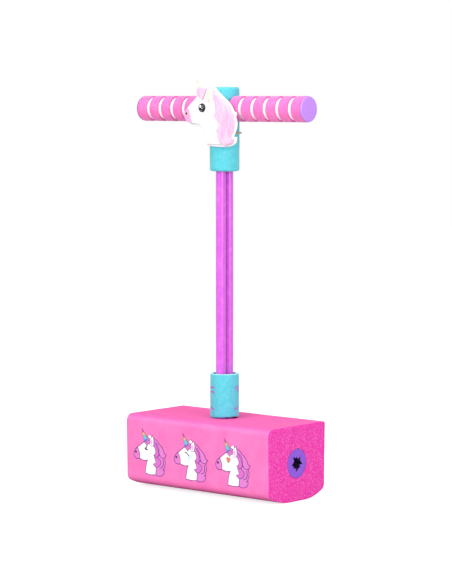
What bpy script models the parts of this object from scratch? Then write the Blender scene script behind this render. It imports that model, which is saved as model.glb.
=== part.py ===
"""Foam pogo jumper: a squeaking foam block, two rubber cord strands and a foam-gripped handle bar.

Metres, +Z up. The origin is the middle of the block's flat sole. The block and the handle bar run
along X, the unicorn ornament looks towards -Y, and the cord loop lies in the plane X = 0.
"""

import math

import bmesh
import bpy
from mathutils import Vector

# Driving dimensions
GAP = 0.0003                 # clearance between pieces that touch
BLOCK_LENGTH = 0.280
BLOCK_WIDTH = 0.130
BLOCK_HEIGHT = 0.111
SOLE_FLAT = 0.016            # half width of the flat strip that the block stands on
SOLE_ARC_RADIUS = 0.095      # the sole curves up from the flat strip to the lower corners
SOLE_ARC_SWEEP = 25.8        # degrees
LOWER_CORNER = 0.011
FRONT_CORNER = 0.011         # the front upper edge is rounder than the back one
BACK_CORNER = 0.003

BORE_RADIUS = 0.0218         # long bore of the block, for the liner, squeaker and plugs
CORD_HOLE_RADIUS = 0.0175    # upright hole from the top of the block into the bore
LINER_LENGTH = 0.150
LINER_WALL = 0.0025
PLUG_LENGTH = 0.036
VENT_RADIUS = 0.0138         # points of the star-shaped sound vent

CORD_RADIUS = 0.00675
CORD_BEND_RADIUS = 0.0046    # the rubber is drawn thin where it turns round a bar
STRAND_OFFSET = 0.00735      # half the distance between the two strands
STRAND_BOW = 0.0009
BAR_RADIUS = 0.0075          # handle core, and the pin that anchors the cord in the block

COLLAR_RADIUS = 0.0215
COLLAR_BORE = 0.0173
COLLAR_HEIGHT = 0.066
COLLAR_LIFT = 0.0006

UPPER_COLLAR_RADIUS = 0.0220
UPPER_COLLAR_BORE = 0.0178
UPPER_COLLAR_BOTTOM = 0.478
UPPER_COLLAR_TOP = 0.602

HANDLE_HEIGHT = 0.570
GRIP_RADIUS = 0.0190
GRIP_START = 0.0224
RING_WIDTH = 0.0180
GROOVE_WIDTH = 0.0056
GROOVE_DEPTH = 0.0027
RINGS_PER_SIDE = 6
CAP_THICKNESS = 0.0030

ORNAMENT_BACK = -0.0226
BOARD_THICKNESS = 0.0040
PAD_THICKNESS = 0.0050
TRIM_THICKNESS = 0.0020
BAND_HEIGHT = 0.5345
BAND_RADIUS = 0.0015

# Places that follow from them
BORE_HEIGHT = BLOCK_HEIGHT / 2
COLLAR_BOTTOM = BLOCK_HEIGHT + COLLAR_LIFT
COLLAR_TOP = COLLAR_BOTTOM + COLLAR_HEIGHT
RING_PITCH = RING_WIDTH + GROOVE_WIDTH
GRIP_END = GRIP_START + RINGS_PER_SIDE * RING_PITCH - GROOVE_WIDTH
PAD_BACK = ORNAMENT_BACK - BOARD_THICKNESS - GAP
TRIM_BACK = PAD_BACK - PAD_THICKNESS - GAP


def clear_scene():
    for obj in list(bpy.data.objects):
        bpy.data.objects.remove(obj, do_unlink=True)


def new_collection(name):
    collection = bpy.data.collections.new(name)
    bpy.context.scene.collection.children.link(collection)
    return collection


def finish(name, colour, roughness, metallic=0.0):
    """A Principled material of one colour, made once and shared after that."""
    material = bpy.data.materials.get(name)
    if material is None:
        material = bpy.data.materials.new(name)
        material.use_nodes = True
        shader = material.node_tree.nodes["Principled BSDF"]
        shader.inputs["Base Color"].default_value = (*colour, 1.0)
        shader.inputs["Roughness"].default_value = roughness
        shader.inputs["Metallic"].default_value = metallic
    return material


def pink_foam():
    return finish("pink_foam", (0.90, 0.13, 0.42), 0.75)


def white_foam():
    return finish("white_foam", (0.90, 0.88, 0.88), 0.80)


def teal_foam():
    return finish("teal_foam", (0.15, 0.68, 0.75), 0.75)


def purple_plastic():
    return finish("purple_plastic", (0.33, 0.12, 0.78), 0.45)


def white_plastic():
    return finish("white_plastic", (0.85, 0.85, 0.83), 0.40)


def violet_rubber():
    return finish("violet_rubber", (0.62, 0.09, 0.72), 0.28)


def white_felt():
    return finish("white_felt", (0.93, 0.92, 0.92), 0.85)


def pale_pink_felt():
    return finish("pale_pink_felt", (0.90, 0.60, 0.80), 0.85)


def cream_felt():
    return finish("cream_felt", (0.93, 0.85, 0.76), 0.85)


def black_gloss():
    return finish("black_gloss", (0.02, 0.02, 0.03), 0.10)


def beige_elastic():
    return finish("beige_elastic", (0.55, 0.42, 0.33), 0.80)


def add_object(name, data, material, joint=None, location=(0, 0, 0), rotation=(0, 0, 0)):
    """Puts a mesh or curve in the assembly at a world place, hung on its joint's empty if it has one."""
    obj = bpy.data.objects.new(name, data)
    PARTS.objects.link(obj)
    data.materials.append(material)
    obj.location = location
    obj.rotation_euler = rotation
    if joint is not None:
        obj.parent = joint
        obj.location = Vector(location) - joint.location
    return obj


def joint_frame(name, location):
    empty = bpy.data.objects.new(name, None)
    empty.empty_display_size = 0.03
    empty.location = location
    PARTS.objects.link(empty)
    return empty


def smooth(obj):
    obj.data.shade_smooth()
    obj.data.set_sharp_from_angle(angle=math.radians(35))


def as_cutter(obj):
    PARTS.objects.unlink(obj)
    CUTTERS.objects.link(obj)
    obj.hide_render = True
    obj.display_type = "WIRE"
    return obj


def boolean(obj, other, operation="DIFFERENCE"):
    modifier = obj.modifiers.new(f"{operation.lower()}_{other.name}", "BOOLEAN")
    modifier.operation = operation
    modifier.solver = "EXACT"
    modifier.object = other


def cylinder_cutter(name, radius, length, location, rotation=(0, 0, 0), segments=32):
    mesh = bpy.data.meshes.new(name)
    shape = bmesh.new()
    bmesh.ops.create_cone(
        shape, cap_ends=True, segments=segments, radius1=radius, radius2=radius, depth=length
    )
    shape.to_mesh(mesh)
    shape.free()
    return as_cutter(add_object(name, mesh, white_plastic(), None, location, rotation))


def turned(name, profile, material, joint=None, location=(0, 0, 0), along_x=False, steps=32):
    """A turned piece. The profile is (radius, height) pairs, down the outer side from the top."""
    mesh = bpy.data.meshes.new(name)
    shape = bmesh.new()
    points = [shape.verts.new((radius, 0, height)) for radius, height in profile]
    on_axis = profile[0][0] == 0 and profile[-1][0] == 0
    for first, second in zip(points, points[1:] if on_axis else points[1:] + points[:1]):
        shape.edges.new((first, second))
    shape.to_mesh(mesh)
    shape.free()
    rotation = (0, math.pi / 2, 0) if along_x else (0, 0, 0)
    obj = add_object(name, mesh, material, joint, location, rotation)
    screw = obj.modifiers.new("turn", "SCREW")
    screw.axis = "Z"
    screw.angle = 2 * math.pi
    screw.steps = steps
    screw.render_steps = steps
    screw.use_merge_vertices = True
    screw.merge_threshold = 0.00001
    return obj


def tube_profile(outer, inner, bottom, top, rounding=0.0):
    """A tube's wall as a profile, its outer rims rounded by a quarter circle of two steps."""
    if rounding == 0:
        return [(outer, top), (outer, bottom), (inner, bottom), (inner, top)]
    turns = [math.radians(angle) for angle in (90, 60, 30, 0)]
    upper = [(outer - rounding * (1 - math.cos(t)), top - rounding * (1 - math.sin(t))) for t in turns]
    lower = [(radius, bottom + top - height) for radius, height in reversed(upper)]
    return upper + lower + [(inner, bottom), (inner, top)]


def outline_curve(name, corners, thickness, resolution=4):
    """A flat closed outline, extruded to a plate. A corner is (x, y, kind), smooth or sharp."""
    curve = bpy.data.curves.new(name, "CURVE")
    curve.dimensions = "2D"
    curve.fill_mode = "BOTH"
    curve.extrude = thickness / 2
    curve.resolution_u = resolution
    spline = curve.splines.new("BEZIER")
    spline.bezier_points.add(len(corners) - 1)
    spline.use_cyclic_u = True
    for point, (x, y, kind) in zip(spline.bezier_points, corners):
        point.co = (x, y, 0)
        handle = "VECTOR" if kind == "sharp" else "AUTO"
        point.handle_left_type = handle
        point.handle_right_type = handle
    return curve


def made_mesh(obj):
    """The mesh object that stands in for a curve object, with its loose caps welded on."""
    bpy.context.view_layer.update()
    evaluated = obj.evaluated_get(bpy.context.evaluated_depsgraph_get())
    mesh = bpy.data.meshes.new_from_object(evaluated)
    shape = bmesh.new()
    shape.from_mesh(mesh)
    bmesh.ops.remove_doubles(shape, verts=shape.verts, dist=0.00001)
    shape.to_mesh(mesh)
    shape.free()
    name = obj.name
    place = obj.matrix_world.copy()
    bpy.data.objects.remove(obj, do_unlink=True)
    made = bpy.data.objects.new(name, mesh)
    PARTS.objects.link(made)
    made.matrix_world = place
    return made


# The block and what is inside it


def arc(centre, radius, start, end, steps):
    """Points of a circular arc, its angles in degrees."""
    angles = [math.radians(start + (end - start) * i / steps) for i in range(steps + 1)]
    return [(centre[0] + radius * math.cos(a), centre[1] + radius * math.sin(a)) for a in angles]


def half_section(upper_corner):
    """Half of the block's section in Y and Z: flat strip, sole arc, lower corner, side, upper corner."""
    sole_end = SOLE_ARC_SWEEP - 90
    sole = arc((SOLE_FLAT, SOLE_ARC_RADIUS), SOLE_ARC_RADIUS, -90, sole_end, 5)
    turn = math.radians(sole_end)
    inward = LOWER_CORNER
    centre = (sole[-1][0] - inward * math.cos(turn), sole[-1][1] - inward * math.sin(turn))
    lower = arc(centre, LOWER_CORNER, sole_end, 0, 4)
    upper_centre = (BLOCK_WIDTH / 2 - upper_corner, BLOCK_HEIGHT - upper_corner)
    upper = arc(upper_centre, upper_corner, 0, 90, 6)
    return sole + lower[1:] + upper


def make_foam_block():
    front = [(-y, z) for y, z in half_section(FRONT_CORNER)]
    whole = half_section(BACK_CORNER) + front[::-1]
    corners = [(y, z, "sharp") for y, z in whole]
    curve = outline_curve("foam_block", corners, BLOCK_LENGTH, resolution=1)
    upright_along_x = (math.pi / 2, 0, math.pi / 2)
    block = made_mesh(add_object("foam_block", curve, pink_foam(), rotation=upright_along_x))
    bore = cylinder_cutter(
        "bore_cutter", BORE_RADIUS, BLOCK_LENGTH + 0.02, (0, 0, BORE_HEIGHT), (0, math.pi / 2, 0)
    )
    depth = BLOCK_HEIGHT - BORE_HEIGHT + 0.01
    cord_hole = cylinder_cutter(
        "cord_hole_cutter", CORD_HOLE_RADIUS, depth, (0, 0, BORE_HEIGHT + depth / 2)
    )
    boolean(block, bore)
    boolean(block, cord_hole)
    smooth(block)


def make_bore_liner():
    """Plastic pipe that lines the middle of the bore, holed on top where the cord comes in."""
    radius = BORE_RADIUS - GAP
    half = LINER_LENGTH / 2
    profile = tube_profile(radius, radius - LINER_WALL, -half, half)
    liner = turned(
        "bore_liner", profile, white_plastic(), location=(0, 0, BORE_HEIGHT), along_x=True
    )
    depth = BORE_RADIUS + 0.008
    hole = cylinder_cutter(
        "liner_hole_cutter", CORD_HOLE_RADIUS, depth, (0, 0, BORE_HEIGHT + 0.003 + depth / 2)
    )
    boolean(liner, hole)


def make_anchor_pin():
    """Rod that the bottom of the cord loop passes under; a pull lifts it against the liner."""
    half = 0.032
    chamfer = 0.001
    profile = [
        (0, half),
        (BAR_RADIUS - chamfer, half),
        (BAR_RADIUS, half - chamfer),
        (BAR_RADIUS, chamfer - half),
        (BAR_RADIUS - chamfer, -half),
        (0, -half),
    ]
    turned(
        "anchor_pin", profile, white_plastic(), location=(0, 0, BORE_HEIGHT), along_x=True, steps=24
    )


def star_points(count=8, radius=VENT_RADIUS):
    """The vent's outline: a star whose points differ in length and lean, as knife cuts in foam do."""
    points = []
    for i in range(count):
        turn = 2 * math.pi * (i + 0.18 * math.sin(2.3 * i)) / count
        length = radius * (0.86 + 0.14 * math.sin(4.1 * i + 0.6))
        points.append((length * math.cos(turn), length * math.sin(turn), "sharp"))
        turn = 2 * math.pi * (i + 0.5) / count
        length = radius * (0.56 + 0.07 * math.cos(3.3 * i))
        points.append((length * math.cos(turn), length * math.sin(turn), "sharp"))
    return points


def make_end_plug(side, direction):
    """Foam plug that closes one end of the bore and lets the squeak out through its vent."""
    outer_end = direction * (BLOCK_LENGTH / 2 - 0.0004)
    middle = outer_end - direction * PLUG_LENGTH / 2
    half = PLUG_LENGTH / 2
    radius = BORE_RADIUS - GAP
    profile = [(0, half), (radius, half), (radius, -half), (0, -half)]
    plug = turned(
        f"end_plug_{side}", profile, purple_plastic(), location=(middle, 0, BORE_HEIGHT), along_x=True
    )
    curve = outline_curve(f"vent_cutter_{side}", star_points(), PLUG_LENGTH + 0.01, resolution=1)
    vent = add_object(
        curve.name, curve, purple_plastic(), None, (middle, 0, BORE_HEIGHT), (math.pi / 2, 0, math.pi / 2)
    )
    boolean(plug, as_cutter(made_mesh(vent)))


def make_squeaker():
    """Air bulb between the liner and the right plug, and the reed that sounds as it is squeezed."""
    start = LINER_LENGTH / 2 + 0.002
    length = BLOCK_LENGTH / 2 - PLUG_LENGTH - start - 0.002
    wall = 0.0015
    mouth = 0.0068
    steps = 8
    outer = []
    for i in range(steps + 1):
        turn = math.pi * i / steps
        outer.append((0.0075 + 0.0125 * math.sin(turn) ** 0.6, length / 2 * math.cos(turn)))
    outer[-1] = (0.0, -length / 2)
    inner = [(max(r - wall, 0.0), z * (1 - 2 * wall / length)) for r, z in reversed(outer)]
    profile = [(mouth, length / 2)] + outer + inner[:-1] + [(mouth - 0.0002, length / 2 - wall)]
    centre = (start + length / 2, 0, BORE_HEIGHT)
    rim = [(r, z) for r, z in profile if not (r == 0.0 and z > 0)]
    bulb_profile = split_at_axis(rim)
    turned("squeaker_bulb", bulb_profile, white_plastic(), location=centre, along_x=True, steps=24)
    reed = [
        (0, 0.004),
        (mouth - 0.0006, 0.004),
        (mouth - 0.0006, -0.004),
        (0.0030, -0.004),
        (0.0030, 0.001),
        (0, 0.001),
    ]
    turned(
        "squeaker_reed",
        reed,
        purple_plastic(),
        location=(start + length - 0.0035, 0, BORE_HEIGHT),
        along_x=True,
        steps=16,
    )


def split_at_axis(profile):
    """Turns the profile so that it starts and ends where it meets the axis."""
    on_axis = [i for i, (radius, _) in enumerate(profile) if radius == 0]
    first, last = on_axis[0], on_axis[-1]
    return profile[last:] + profile[: first + 1]


# The stick: collars and cord loop


def make_lower_collar(joint):
    half = COLLAR_HEIGHT / 2
    profile = tube_profile(COLLAR_RADIUS, COLLAR_BORE, -half, half, rounding=0.0014)
    collar = turned(
        "lower_collar", profile, teal_foam(), joint, (0, 0, COLLAR_BOTTOM + half), steps=36
    )
    return collar


def eased(value):
    value = min(max(value, 0.0), 1.0)
    return value * value * (3 - 2 * value)


def cord_route():
    """Centre line of the closed loop as (y, z, radius): under the pin, up, over the bar, down."""
    turn_radius = BAR_RADIUS + GAP + CORD_BEND_RADIUS
    ease_length = 0.045
    low = BORE_HEIGHT
    high = HANDLE_HEIGHT
    half_turn = 10
    rise = [0.0, 0.12, 0.24, 0.36, 0.48, 0.60, 0.72, 0.86, 1.0]
    levels = [low + ease_length * t for t in rise[1:]]
    span = high - low - 2 * ease_length
    levels += [low + ease_length + span * i / 12 for i in range(1, 12)]
    levels += [high - ease_length * t for t in reversed(rise[1:])]

    def strand(z):
        away = min(z - low, high - z)
        out = eased(away / ease_length)
        bow = STRAND_BOW * math.sin(math.pi * (z - low) / (high - low))
        offset = turn_radius + (STRAND_OFFSET - turn_radius) * out + bow
        return offset, CORD_BEND_RADIUS + (CORD_RADIUS - CORD_BEND_RADIUS) * out

    points = []
    for y, z in arc((0, low), turn_radius, -180, 0, half_turn):
        points.append((y, z, CORD_BEND_RADIUS))
    for z in levels:
        offset, radius = strand(z)
        points.append((offset, z, radius))
    for y, z in arc((0, high), turn_radius, 0, 180, half_turn):
        points.append((y, z, CORD_BEND_RADIUS))
    for z in reversed(levels):
        offset, radius = strand(z)
        points.append((-offset, z, radius))
    return points


def make_cord_loop(joint):
    curve = bpy.data.curves.new("cord_loop", "CURVE")
    curve.dimensions = "3D"
    curve.bevel_depth = CORD_RADIUS
    curve.bevel_resolution = 2
    curve.use_fill_caps = True
    route = cord_route()
    spline = curve.splines.new("POLY")
    spline.points.add(len(route) - 1)
    spline.use_cyclic_u = True
    for point, (y, z, radius) in zip(spline.points, route):
        point.co = (0, y, z - joint.location.z, 1)
        point.radius = radius / CORD_RADIUS
    add_object("cord_loop", curve, violet_rubber(), joint, tuple(joint.location))


def make_upper_collar(joint):
    middle = (UPPER_COLLAR_TOP + UPPER_COLLAR_BOTTOM) / 2
    half = (UPPER_COLLAR_TOP - UPPER_COLLAR_BOTTOM) / 2
    profile = tube_profile(UPPER_COLLAR_RADIUS, UPPER_COLLAR_BORE, -half, half, rounding=0.0020)
    collar = turned("upper_collar", profile, teal_foam(), joint, (0, 0, middle), steps=36)
    cross_bore = cylinder_cutter(
        "cross_bore_cutter", BAR_RADIUS + GAP, 0.06, (0, 0, HANDLE_HEIGHT), (0, math.pi / 2, 0), 24
    )
    boolean(collar, cross_bore)


# The handle bar


def make_handle_core(joint):
    half = GRIP_END - GAP
    profile = tube_profile(BAR_RADIUS, BAR_RADIUS - 0.002, -half, half)
    turned(
        "handle_core", profile, white_plastic(), joint, (0, 0, HANDLE_HEIGHT), along_x=True, steps=24
    )


def make_grip(side, direction, joint):
    """One grip: a white foam sleeve on the core, and the pink foam rings left between its grooves."""
    sleeve_radius = GRIP_RADIUS - GROOVE_DEPTH
    half = (GRIP_END - GRIP_START) / 2
    middle = direction * (GRIP_START + half)
    profile = tube_profile(sleeve_radius - GAP, BAR_RADIUS + GAP, -half, half)
    turned(
        f"grip_sleeve_{side}",
        profile,
        white_foam(),
        joint,
        (middle, 0, HANDLE_HEIGHT),
        along_x=True,
        steps=24,
    )
    ring = tube_profile(GRIP_RADIUS, sleeve_radius, -RING_WIDTH / 2, RING_WIDTH / 2)
    for i in range(RINGS_PER_SIDE):
        centre = direction * (GRIP_START + i * RING_PITCH + RING_WIDTH / 2)
        turned(
            f"grip_ring_{side}_{i + 1}",
            ring,
            pink_foam(),
            joint,
            (centre, 0, HANDLE_HEIGHT),
            along_x=True,
            steps=24,
        )


def make_end_cap(side, direction, joint):
    """Plastic cap whose stem is pushed into the core; its domed head covers the grip's end."""
    head = GRIP_RADIUS - 0.0003
    stem = BAR_RADIUS - 0.002 - GAP
    stem_length = 0.020
    edge = 0.0010
    profile = [
        (0, CAP_THICKNESS),
        (head - edge * 2, CAP_THICKNESS - edge * 0.3),
        (head, CAP_THICKNESS - edge * 1.5),
        (head, 0),
        (stem, 0),
        (stem, -stem_length),
        (0, -stem_length),
    ]
    cap = turned(
        f"end_cap_{side}",
        profile,
        purple_plastic(),
        joint,
        (direction * (GRIP_END + GAP), 0, HANDLE_HEIGHT),
        along_x=True,
        steps=24,
    )
    if direction < 0:
        cap.rotation_euler = (0, -math.pi / 2, 0)


# The unicorn ornament


def facing_plate(name, corners, thickness, back, material, joint):
    """A plate cut to an outline in X and Z, standing upright with its back face at y = back."""
    curve = outline_curve(name, corners, thickness)
    middle = back - thickness / 2
    obj = made_mesh(
        add_object(name, curve, material, None, (0, middle, 0), (math.pi / 2, 0, 0))
    )
    obj.parent = joint
    obj.location = Vector((0, middle, 0)) - joint.location
    return obj


def head_outline():
    """Forehead, muzzle, chin, jaw and neck, then up the line where the mane begins."""
    return [
        (-0.0268, 0.5890, "smooth"),
        (-0.0370, 0.5800, "smooth"),
        (-0.0470, 0.5715, "smooth"),
        (-0.0515, 0.5640, "smooth"),
        (-0.0505, 0.5560, "smooth"),
        (-0.0440, 0.5492, "smooth"),
        (-0.0330, 0.5480, "smooth"),
        (-0.0200, 0.5455, "smooth"),
        (-0.0125, 0.5330, "smooth"),
        (-0.0090, 0.5175, "sharp"),
        (0.0145, 0.5170, "sharp"),
        (0.0118, 0.5290, "smooth"),
        (0.0118, 0.5370, "smooth"),
        (0.0135, 0.5460, "smooth"),
        (0.0096, 0.5540, "smooth"),
        (0.0076, 0.5620, "smooth"),
        (0.0078, 0.5700, "smooth"),
        (0.0062, 0.5790, "smooth"),
        (0.0024, 0.5890, "smooth"),
        (-0.0030, 0.5960, "smooth"),
        (-0.0120, 0.5968, "smooth"),
    ]


def mane_outline():
    """The mane falls behind the head in three locks and ends in a curl."""
    return [
        (0.0010, 0.5975, "sharp"),
        (0.0080, 0.5932, "smooth"),
        (0.0158, 0.5878, "smooth"),
        (0.0218, 0.5835, "smooth"),
        (0.0278, 0.5788, "smooth"),
        (0.0336, 0.5728, "smooth"),
        (0.0375, 0.5660, "smooth"),
        (0.0408, 0.5622, "sharp"),
        (0.0422, 0.5570, "smooth"),
        (0.0430, 0.5500, "smooth"),
        (0.0425, 0.5425, "smooth"),
        (0.0398, 0.5345, "smooth"),
        (0.0362, 0.5282, "sharp"),
        (0.0430, 0.5262, "sharp"),
        (0.0402, 0.5212, "smooth"),
        (0.0352, 0.5182, "smooth"),
        (0.0290, 0.5165, "smooth"),
        (0.0225, 0.5170, "sharp"),
        (0.0165, 0.5215, "smooth"),
        (0.0132, 0.5290, "smooth"),
        (0.0132, 0.5370, "smooth"),
        (0.0150, 0.5460, "smooth"),
        (0.0110, 0.5540, "smooth"),
        (0.0090, 0.5620, "smooth"),
        (0.0092, 0.5700, "smooth"),
        (0.0077, 0.5790, "smooth"),
        (0.0040, 0.5890, "smooth"),
    ]


def board_outline():
    """The backing board stands a few millimetres proud of the head and the mane all round."""
    return [
        (-0.0285, 0.5900, "smooth"),
        (-0.0400, 0.5812, "smooth"),
        (-0.0505, 0.5718, "smooth"),
        (-0.0542, 0.5620, "smooth"),
        (-0.0520, 0.5535, "smooth"),
        (-0.0450, 0.5472, "smooth"),
        (-0.0330, 0.5455, "smooth"),
        (-0.0230, 0.5425, "smooth"),
        (-0.0160, 0.5310, "smooth"),
        (-0.0120, 0.5150, "sharp"),
        (0.0290, 0.5148, "smooth"),
        (0.0370, 0.5170, "smooth"),
        (0.0432, 0.5218, "smooth"),
        (0.0444, 0.5295, "sharp"),
        (0.0374, 0.5288, "sharp"),
        (0.0420, 0.5369, "smooth"),
        (0.0448, 0.5450, "smooth"),
        (0.0446, 0.5520, "smooth"),
        (0.0428, 0.5580, "smooth"),
        (0.0446, 0.5640, "sharp"),
        (0.0388, 0.5668, "sharp"),
        (0.0346, 0.5742, "smooth"),
        (0.0286, 0.5804, "smooth"),
        (0.0222, 0.5850, "smooth"),
        (0.0165, 0.5896, "smooth"),
        (0.0100, 0.5945, "smooth"),
        (0.0046, 0.6000, "smooth"),
        (0.0000, 0.6062, "smooth"),
        (-0.0060, 0.6055, "smooth"),
        (-0.0150, 0.6038, "smooth"),
        (-0.0260, 0.6030, "smooth"),
        (-0.0300, 0.5970, "smooth"),
    ]


def make_ornament(joint):
    facing_plate(
        "ornament_board", board_outline(), BOARD_THICKNESS, ORNAMENT_BACK, white_felt(), joint
    )
    facing_plate("ornament_head", head_outline(), PAD_THICKNESS, PAD_BACK, white_felt(), joint)
    facing_plate(
        "ornament_mane", mane_outline(), PAD_THICKNESS - 0.001, PAD_BACK, pale_pink_felt(), joint
    )
    muzzle = [
        (-0.0430, 0.5720, "sharp"),
        (-0.0490, 0.5650, "smooth"),
        (-0.0498, 0.5580, "smooth"),
        (-0.0455, 0.5515, "smooth"),
        (-0.0362, 0.5494, "sharp"),
        (-0.0382, 0.5590, "smooth"),
        (-0.0406, 0.5665, "smooth"),
    ]
    facing_plate(
        "ornament_muzzle", muzzle, TRIM_THICKNESS, TRIM_BACK, pale_pink_felt(), joint
    )
    forelock = [
        (-0.0258, 0.6000, "sharp"),
        (-0.0165, 0.6016, "smooth"),
        (-0.0066, 0.5998, "sharp"),
        (-0.0098, 0.5917, "smooth"),
        (-0.0150, 0.5830, "sharp"),
        (-0.0203, 0.5864, "smooth"),
        (-0.0248, 0.5917, "smooth"),
    ]
    facing_plate(
        "ornament_forelock", forelock, TRIM_THICKNESS, TRIM_BACK, pale_pink_felt(), joint
    )
    ear = [
        (0.0005, 0.6078, "sharp"),
        (-0.0042, 0.6006, "smooth"),
        (-0.0078, 0.5864, "smooth"),
        (-0.0062, 0.5806, "smooth"),
        (-0.0003, 0.5797, "smooth"),
        (0.0042, 0.5835, "smooth"),
        (0.0049, 0.5954, "smooth"),
        (0.0030, 0.6029, "smooth"),
    ]
    facing_plate("ornament_ear", ear, TRIM_THICKNESS, TRIM_BACK, white_felt(), joint)
    inner_ear = [
        (-0.0014, 0.6000, "sharp"),
        (-0.0043, 0.5930, "smooth"),
        (-0.0057, 0.5870, "smooth"),
        (-0.0043, 0.5826, "smooth"),
        (0.0000, 0.5814, "smooth"),
        (0.0014, 0.5890, "smooth"),
        (0.0006, 0.5965, "smooth"),
    ]
    facing_plate(
        "ornament_inner_ear", inner_ear, 0.001, TRIM_BACK - TRIM_THICKNESS - GAP, cream_felt(), joint
    )


def make_facing_button(name, place, radius, height, back, joint):
    """A domed round button on the ornament's face."""
    profile = [
        (0, height),
        (radius * 0.45, height * 0.9),
        (radius * 0.80, height * 0.55),
        (radius, 0.0),
        (0, 0.0),
    ]
    x, z = place
    button = turned(name, profile, black_gloss(), joint, (x, back, z), steps=20)
    button.rotation_euler = (math.pi / 2, 0, 0)


def make_horn(joint):
    """A slim turned horn rising from behind the forelock, leaning a little forward."""
    base = Vector((-0.0250, PAD_BACK - 0.0026, 0.5975))
    tip = Vector((-0.0278, PAD_BACK - 0.0022, 0.6135))
    length = (tip - base).length
    profile = [(0, length), (0.0008, length - 0.0004), (0.0025, 0.0), (0, 0.0)]
    horn = turned("ornament_horn", profile, cream_felt(), joint, tuple(base), steps=16)
    horn.rotation_mode = "QUATERNION"
    horn.rotation_quaternion = (tip - base).to_track_quat("Z", "Y")


def make_band(joint):
    """Elastic loop from the back of the board round the upper collar, just under the handle bar."""
    curve = bpy.data.curves.new("ornament_band", "CURVE")
    curve.dimensions = "3D"
    curve.bevel_depth = BAND_RADIUS
    curve.bevel_resolution = 2
    curve.use_fill_caps = True
    around = UPPER_COLLAR_RADIUS + BAND_RADIUS + GAP
    route = arc((0, 0), around, -62, 242, 24)
    spline = curve.splines.new("POLY")
    spline.points.add(len(route) - 1)
    for point, (x, y) in zip(spline.points, route):
        point.co = (x, y, 0, 1)
    add_object(
        "ornament_band", curve, beige_elastic(), joint, (0, 0, BAND_HEIGHT)
    )


clear_scene()
PARTS = new_collection("foam_pogo_jumper")
CUTTERS = new_collection("cutters")
CUTTERS.hide_render = True

twist = joint_frame("handle_twist_axis", (0, 0, BLOCK_HEIGHT))
lean = joint_frame("stick_lean_axis", (0, 0, COLLAR_TOP))
stretch = joint_frame("cord_stretch_axis", (0, 0, UPPER_COLLAR_BOTTOM))
spin = joint_frame("bar_spin_axis", (0, 0, HANDLE_HEIGHT))
tilt = joint_frame("ornament_tilt_axis", (0, ORNAMENT_BACK, 0.515))

make_foam_block()
make_bore_liner()
make_anchor_pin()
make_end_plug("right", 1)
make_end_plug("left", -1)
make_squeaker()
make_lower_collar(twist)
make_cord_loop(lean)
make_upper_collar(stretch)
make_handle_core(spin)
for side_name, sign in (("right", 1), ("left", -1)):
    make_grip(side_name, sign, spin)
    make_end_cap(side_name, sign, spin)
make_ornament(tilt)
make_facing_button("ornament_eye", (-0.0160, 0.5715), 0.0066, 0.0032, TRIM_BACK, tilt)
nostril_back = TRIM_BACK - TRIM_THICKNESS - GAP
make_facing_button("ornament_nostril", (-0.0447, 0.5630), 0.0018, 0.0008, nostril_back, tilt)
make_horn(tilt)
make_band(stretch)
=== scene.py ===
import math

import bmesh
import bpy
import numpy as np
from mathutils import Matrix, Vector, noise


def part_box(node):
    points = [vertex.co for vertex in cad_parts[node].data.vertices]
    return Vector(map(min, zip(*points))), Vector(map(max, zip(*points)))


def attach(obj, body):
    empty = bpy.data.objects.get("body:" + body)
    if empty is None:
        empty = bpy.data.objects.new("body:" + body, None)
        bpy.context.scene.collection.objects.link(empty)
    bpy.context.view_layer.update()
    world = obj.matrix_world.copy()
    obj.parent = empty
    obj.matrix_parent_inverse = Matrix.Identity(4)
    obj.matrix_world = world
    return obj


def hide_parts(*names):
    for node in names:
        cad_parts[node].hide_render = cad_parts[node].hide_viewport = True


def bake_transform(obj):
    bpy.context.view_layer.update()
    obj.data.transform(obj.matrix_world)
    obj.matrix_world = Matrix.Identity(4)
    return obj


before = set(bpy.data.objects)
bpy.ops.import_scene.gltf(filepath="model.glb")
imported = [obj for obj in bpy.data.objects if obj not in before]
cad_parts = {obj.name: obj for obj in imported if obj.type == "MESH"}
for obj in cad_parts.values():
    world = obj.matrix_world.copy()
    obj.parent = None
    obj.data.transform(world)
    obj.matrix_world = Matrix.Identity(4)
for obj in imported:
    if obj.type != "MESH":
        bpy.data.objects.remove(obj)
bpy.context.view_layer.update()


# Foam block
# One length of pink polyethylene foam, extruded to its section with a smooth closed skin. The ends are
# cut with a hot wire, which opens the cells. The long bore takes the liner, the squeaker and the plugs,
# and the upright hole takes the cord.

SOLE_FLAT = 0.016
SOLE_ARC_RADIUS = 0.095
SOLE_ARC_SWEEP = 25.8
LOWER_CORNER = 0.011
FRONT_CORNER = 0.011
BACK_CORNER = 0.003
BORE_RADIUS = 0.0218
CORD_HOLE_RADIUS = 0.0175
HOLE_EXCESS = 0.01
CUT_EDGE = 0.0010
TOUCHING = 0.00001
WELDED = 0.000002
SLOW_WAVE = 0.055
SLOW_WAVE_HEIGHT = 0.00032
QUICK_WAVE = 0.017
QUICK_WAVE_HEIGHT = 0.00003
WAVE_FADE = 0.015
SOLE_FADE = 0.006
SKIN_PINK = "#F67BBC"
SKIN_PINK_DEEP = "#F370B4"
# Painted shade for the block's top face.
TOP_PAINTED_SHADE_PINK = "#F65FAC"
FLECK_PINK = "#FF9AD8"
CUT_PINK = "#E436A4"
CUT_PINK_LIGHT = "#F07CC2"
CUT_PINK_DARK = "#B0308C"
ALONG_X = (1, 0, 0)
ALONG_Y = (0, 1, 0)
UPRIGHT = (0, 0, 1)

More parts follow.
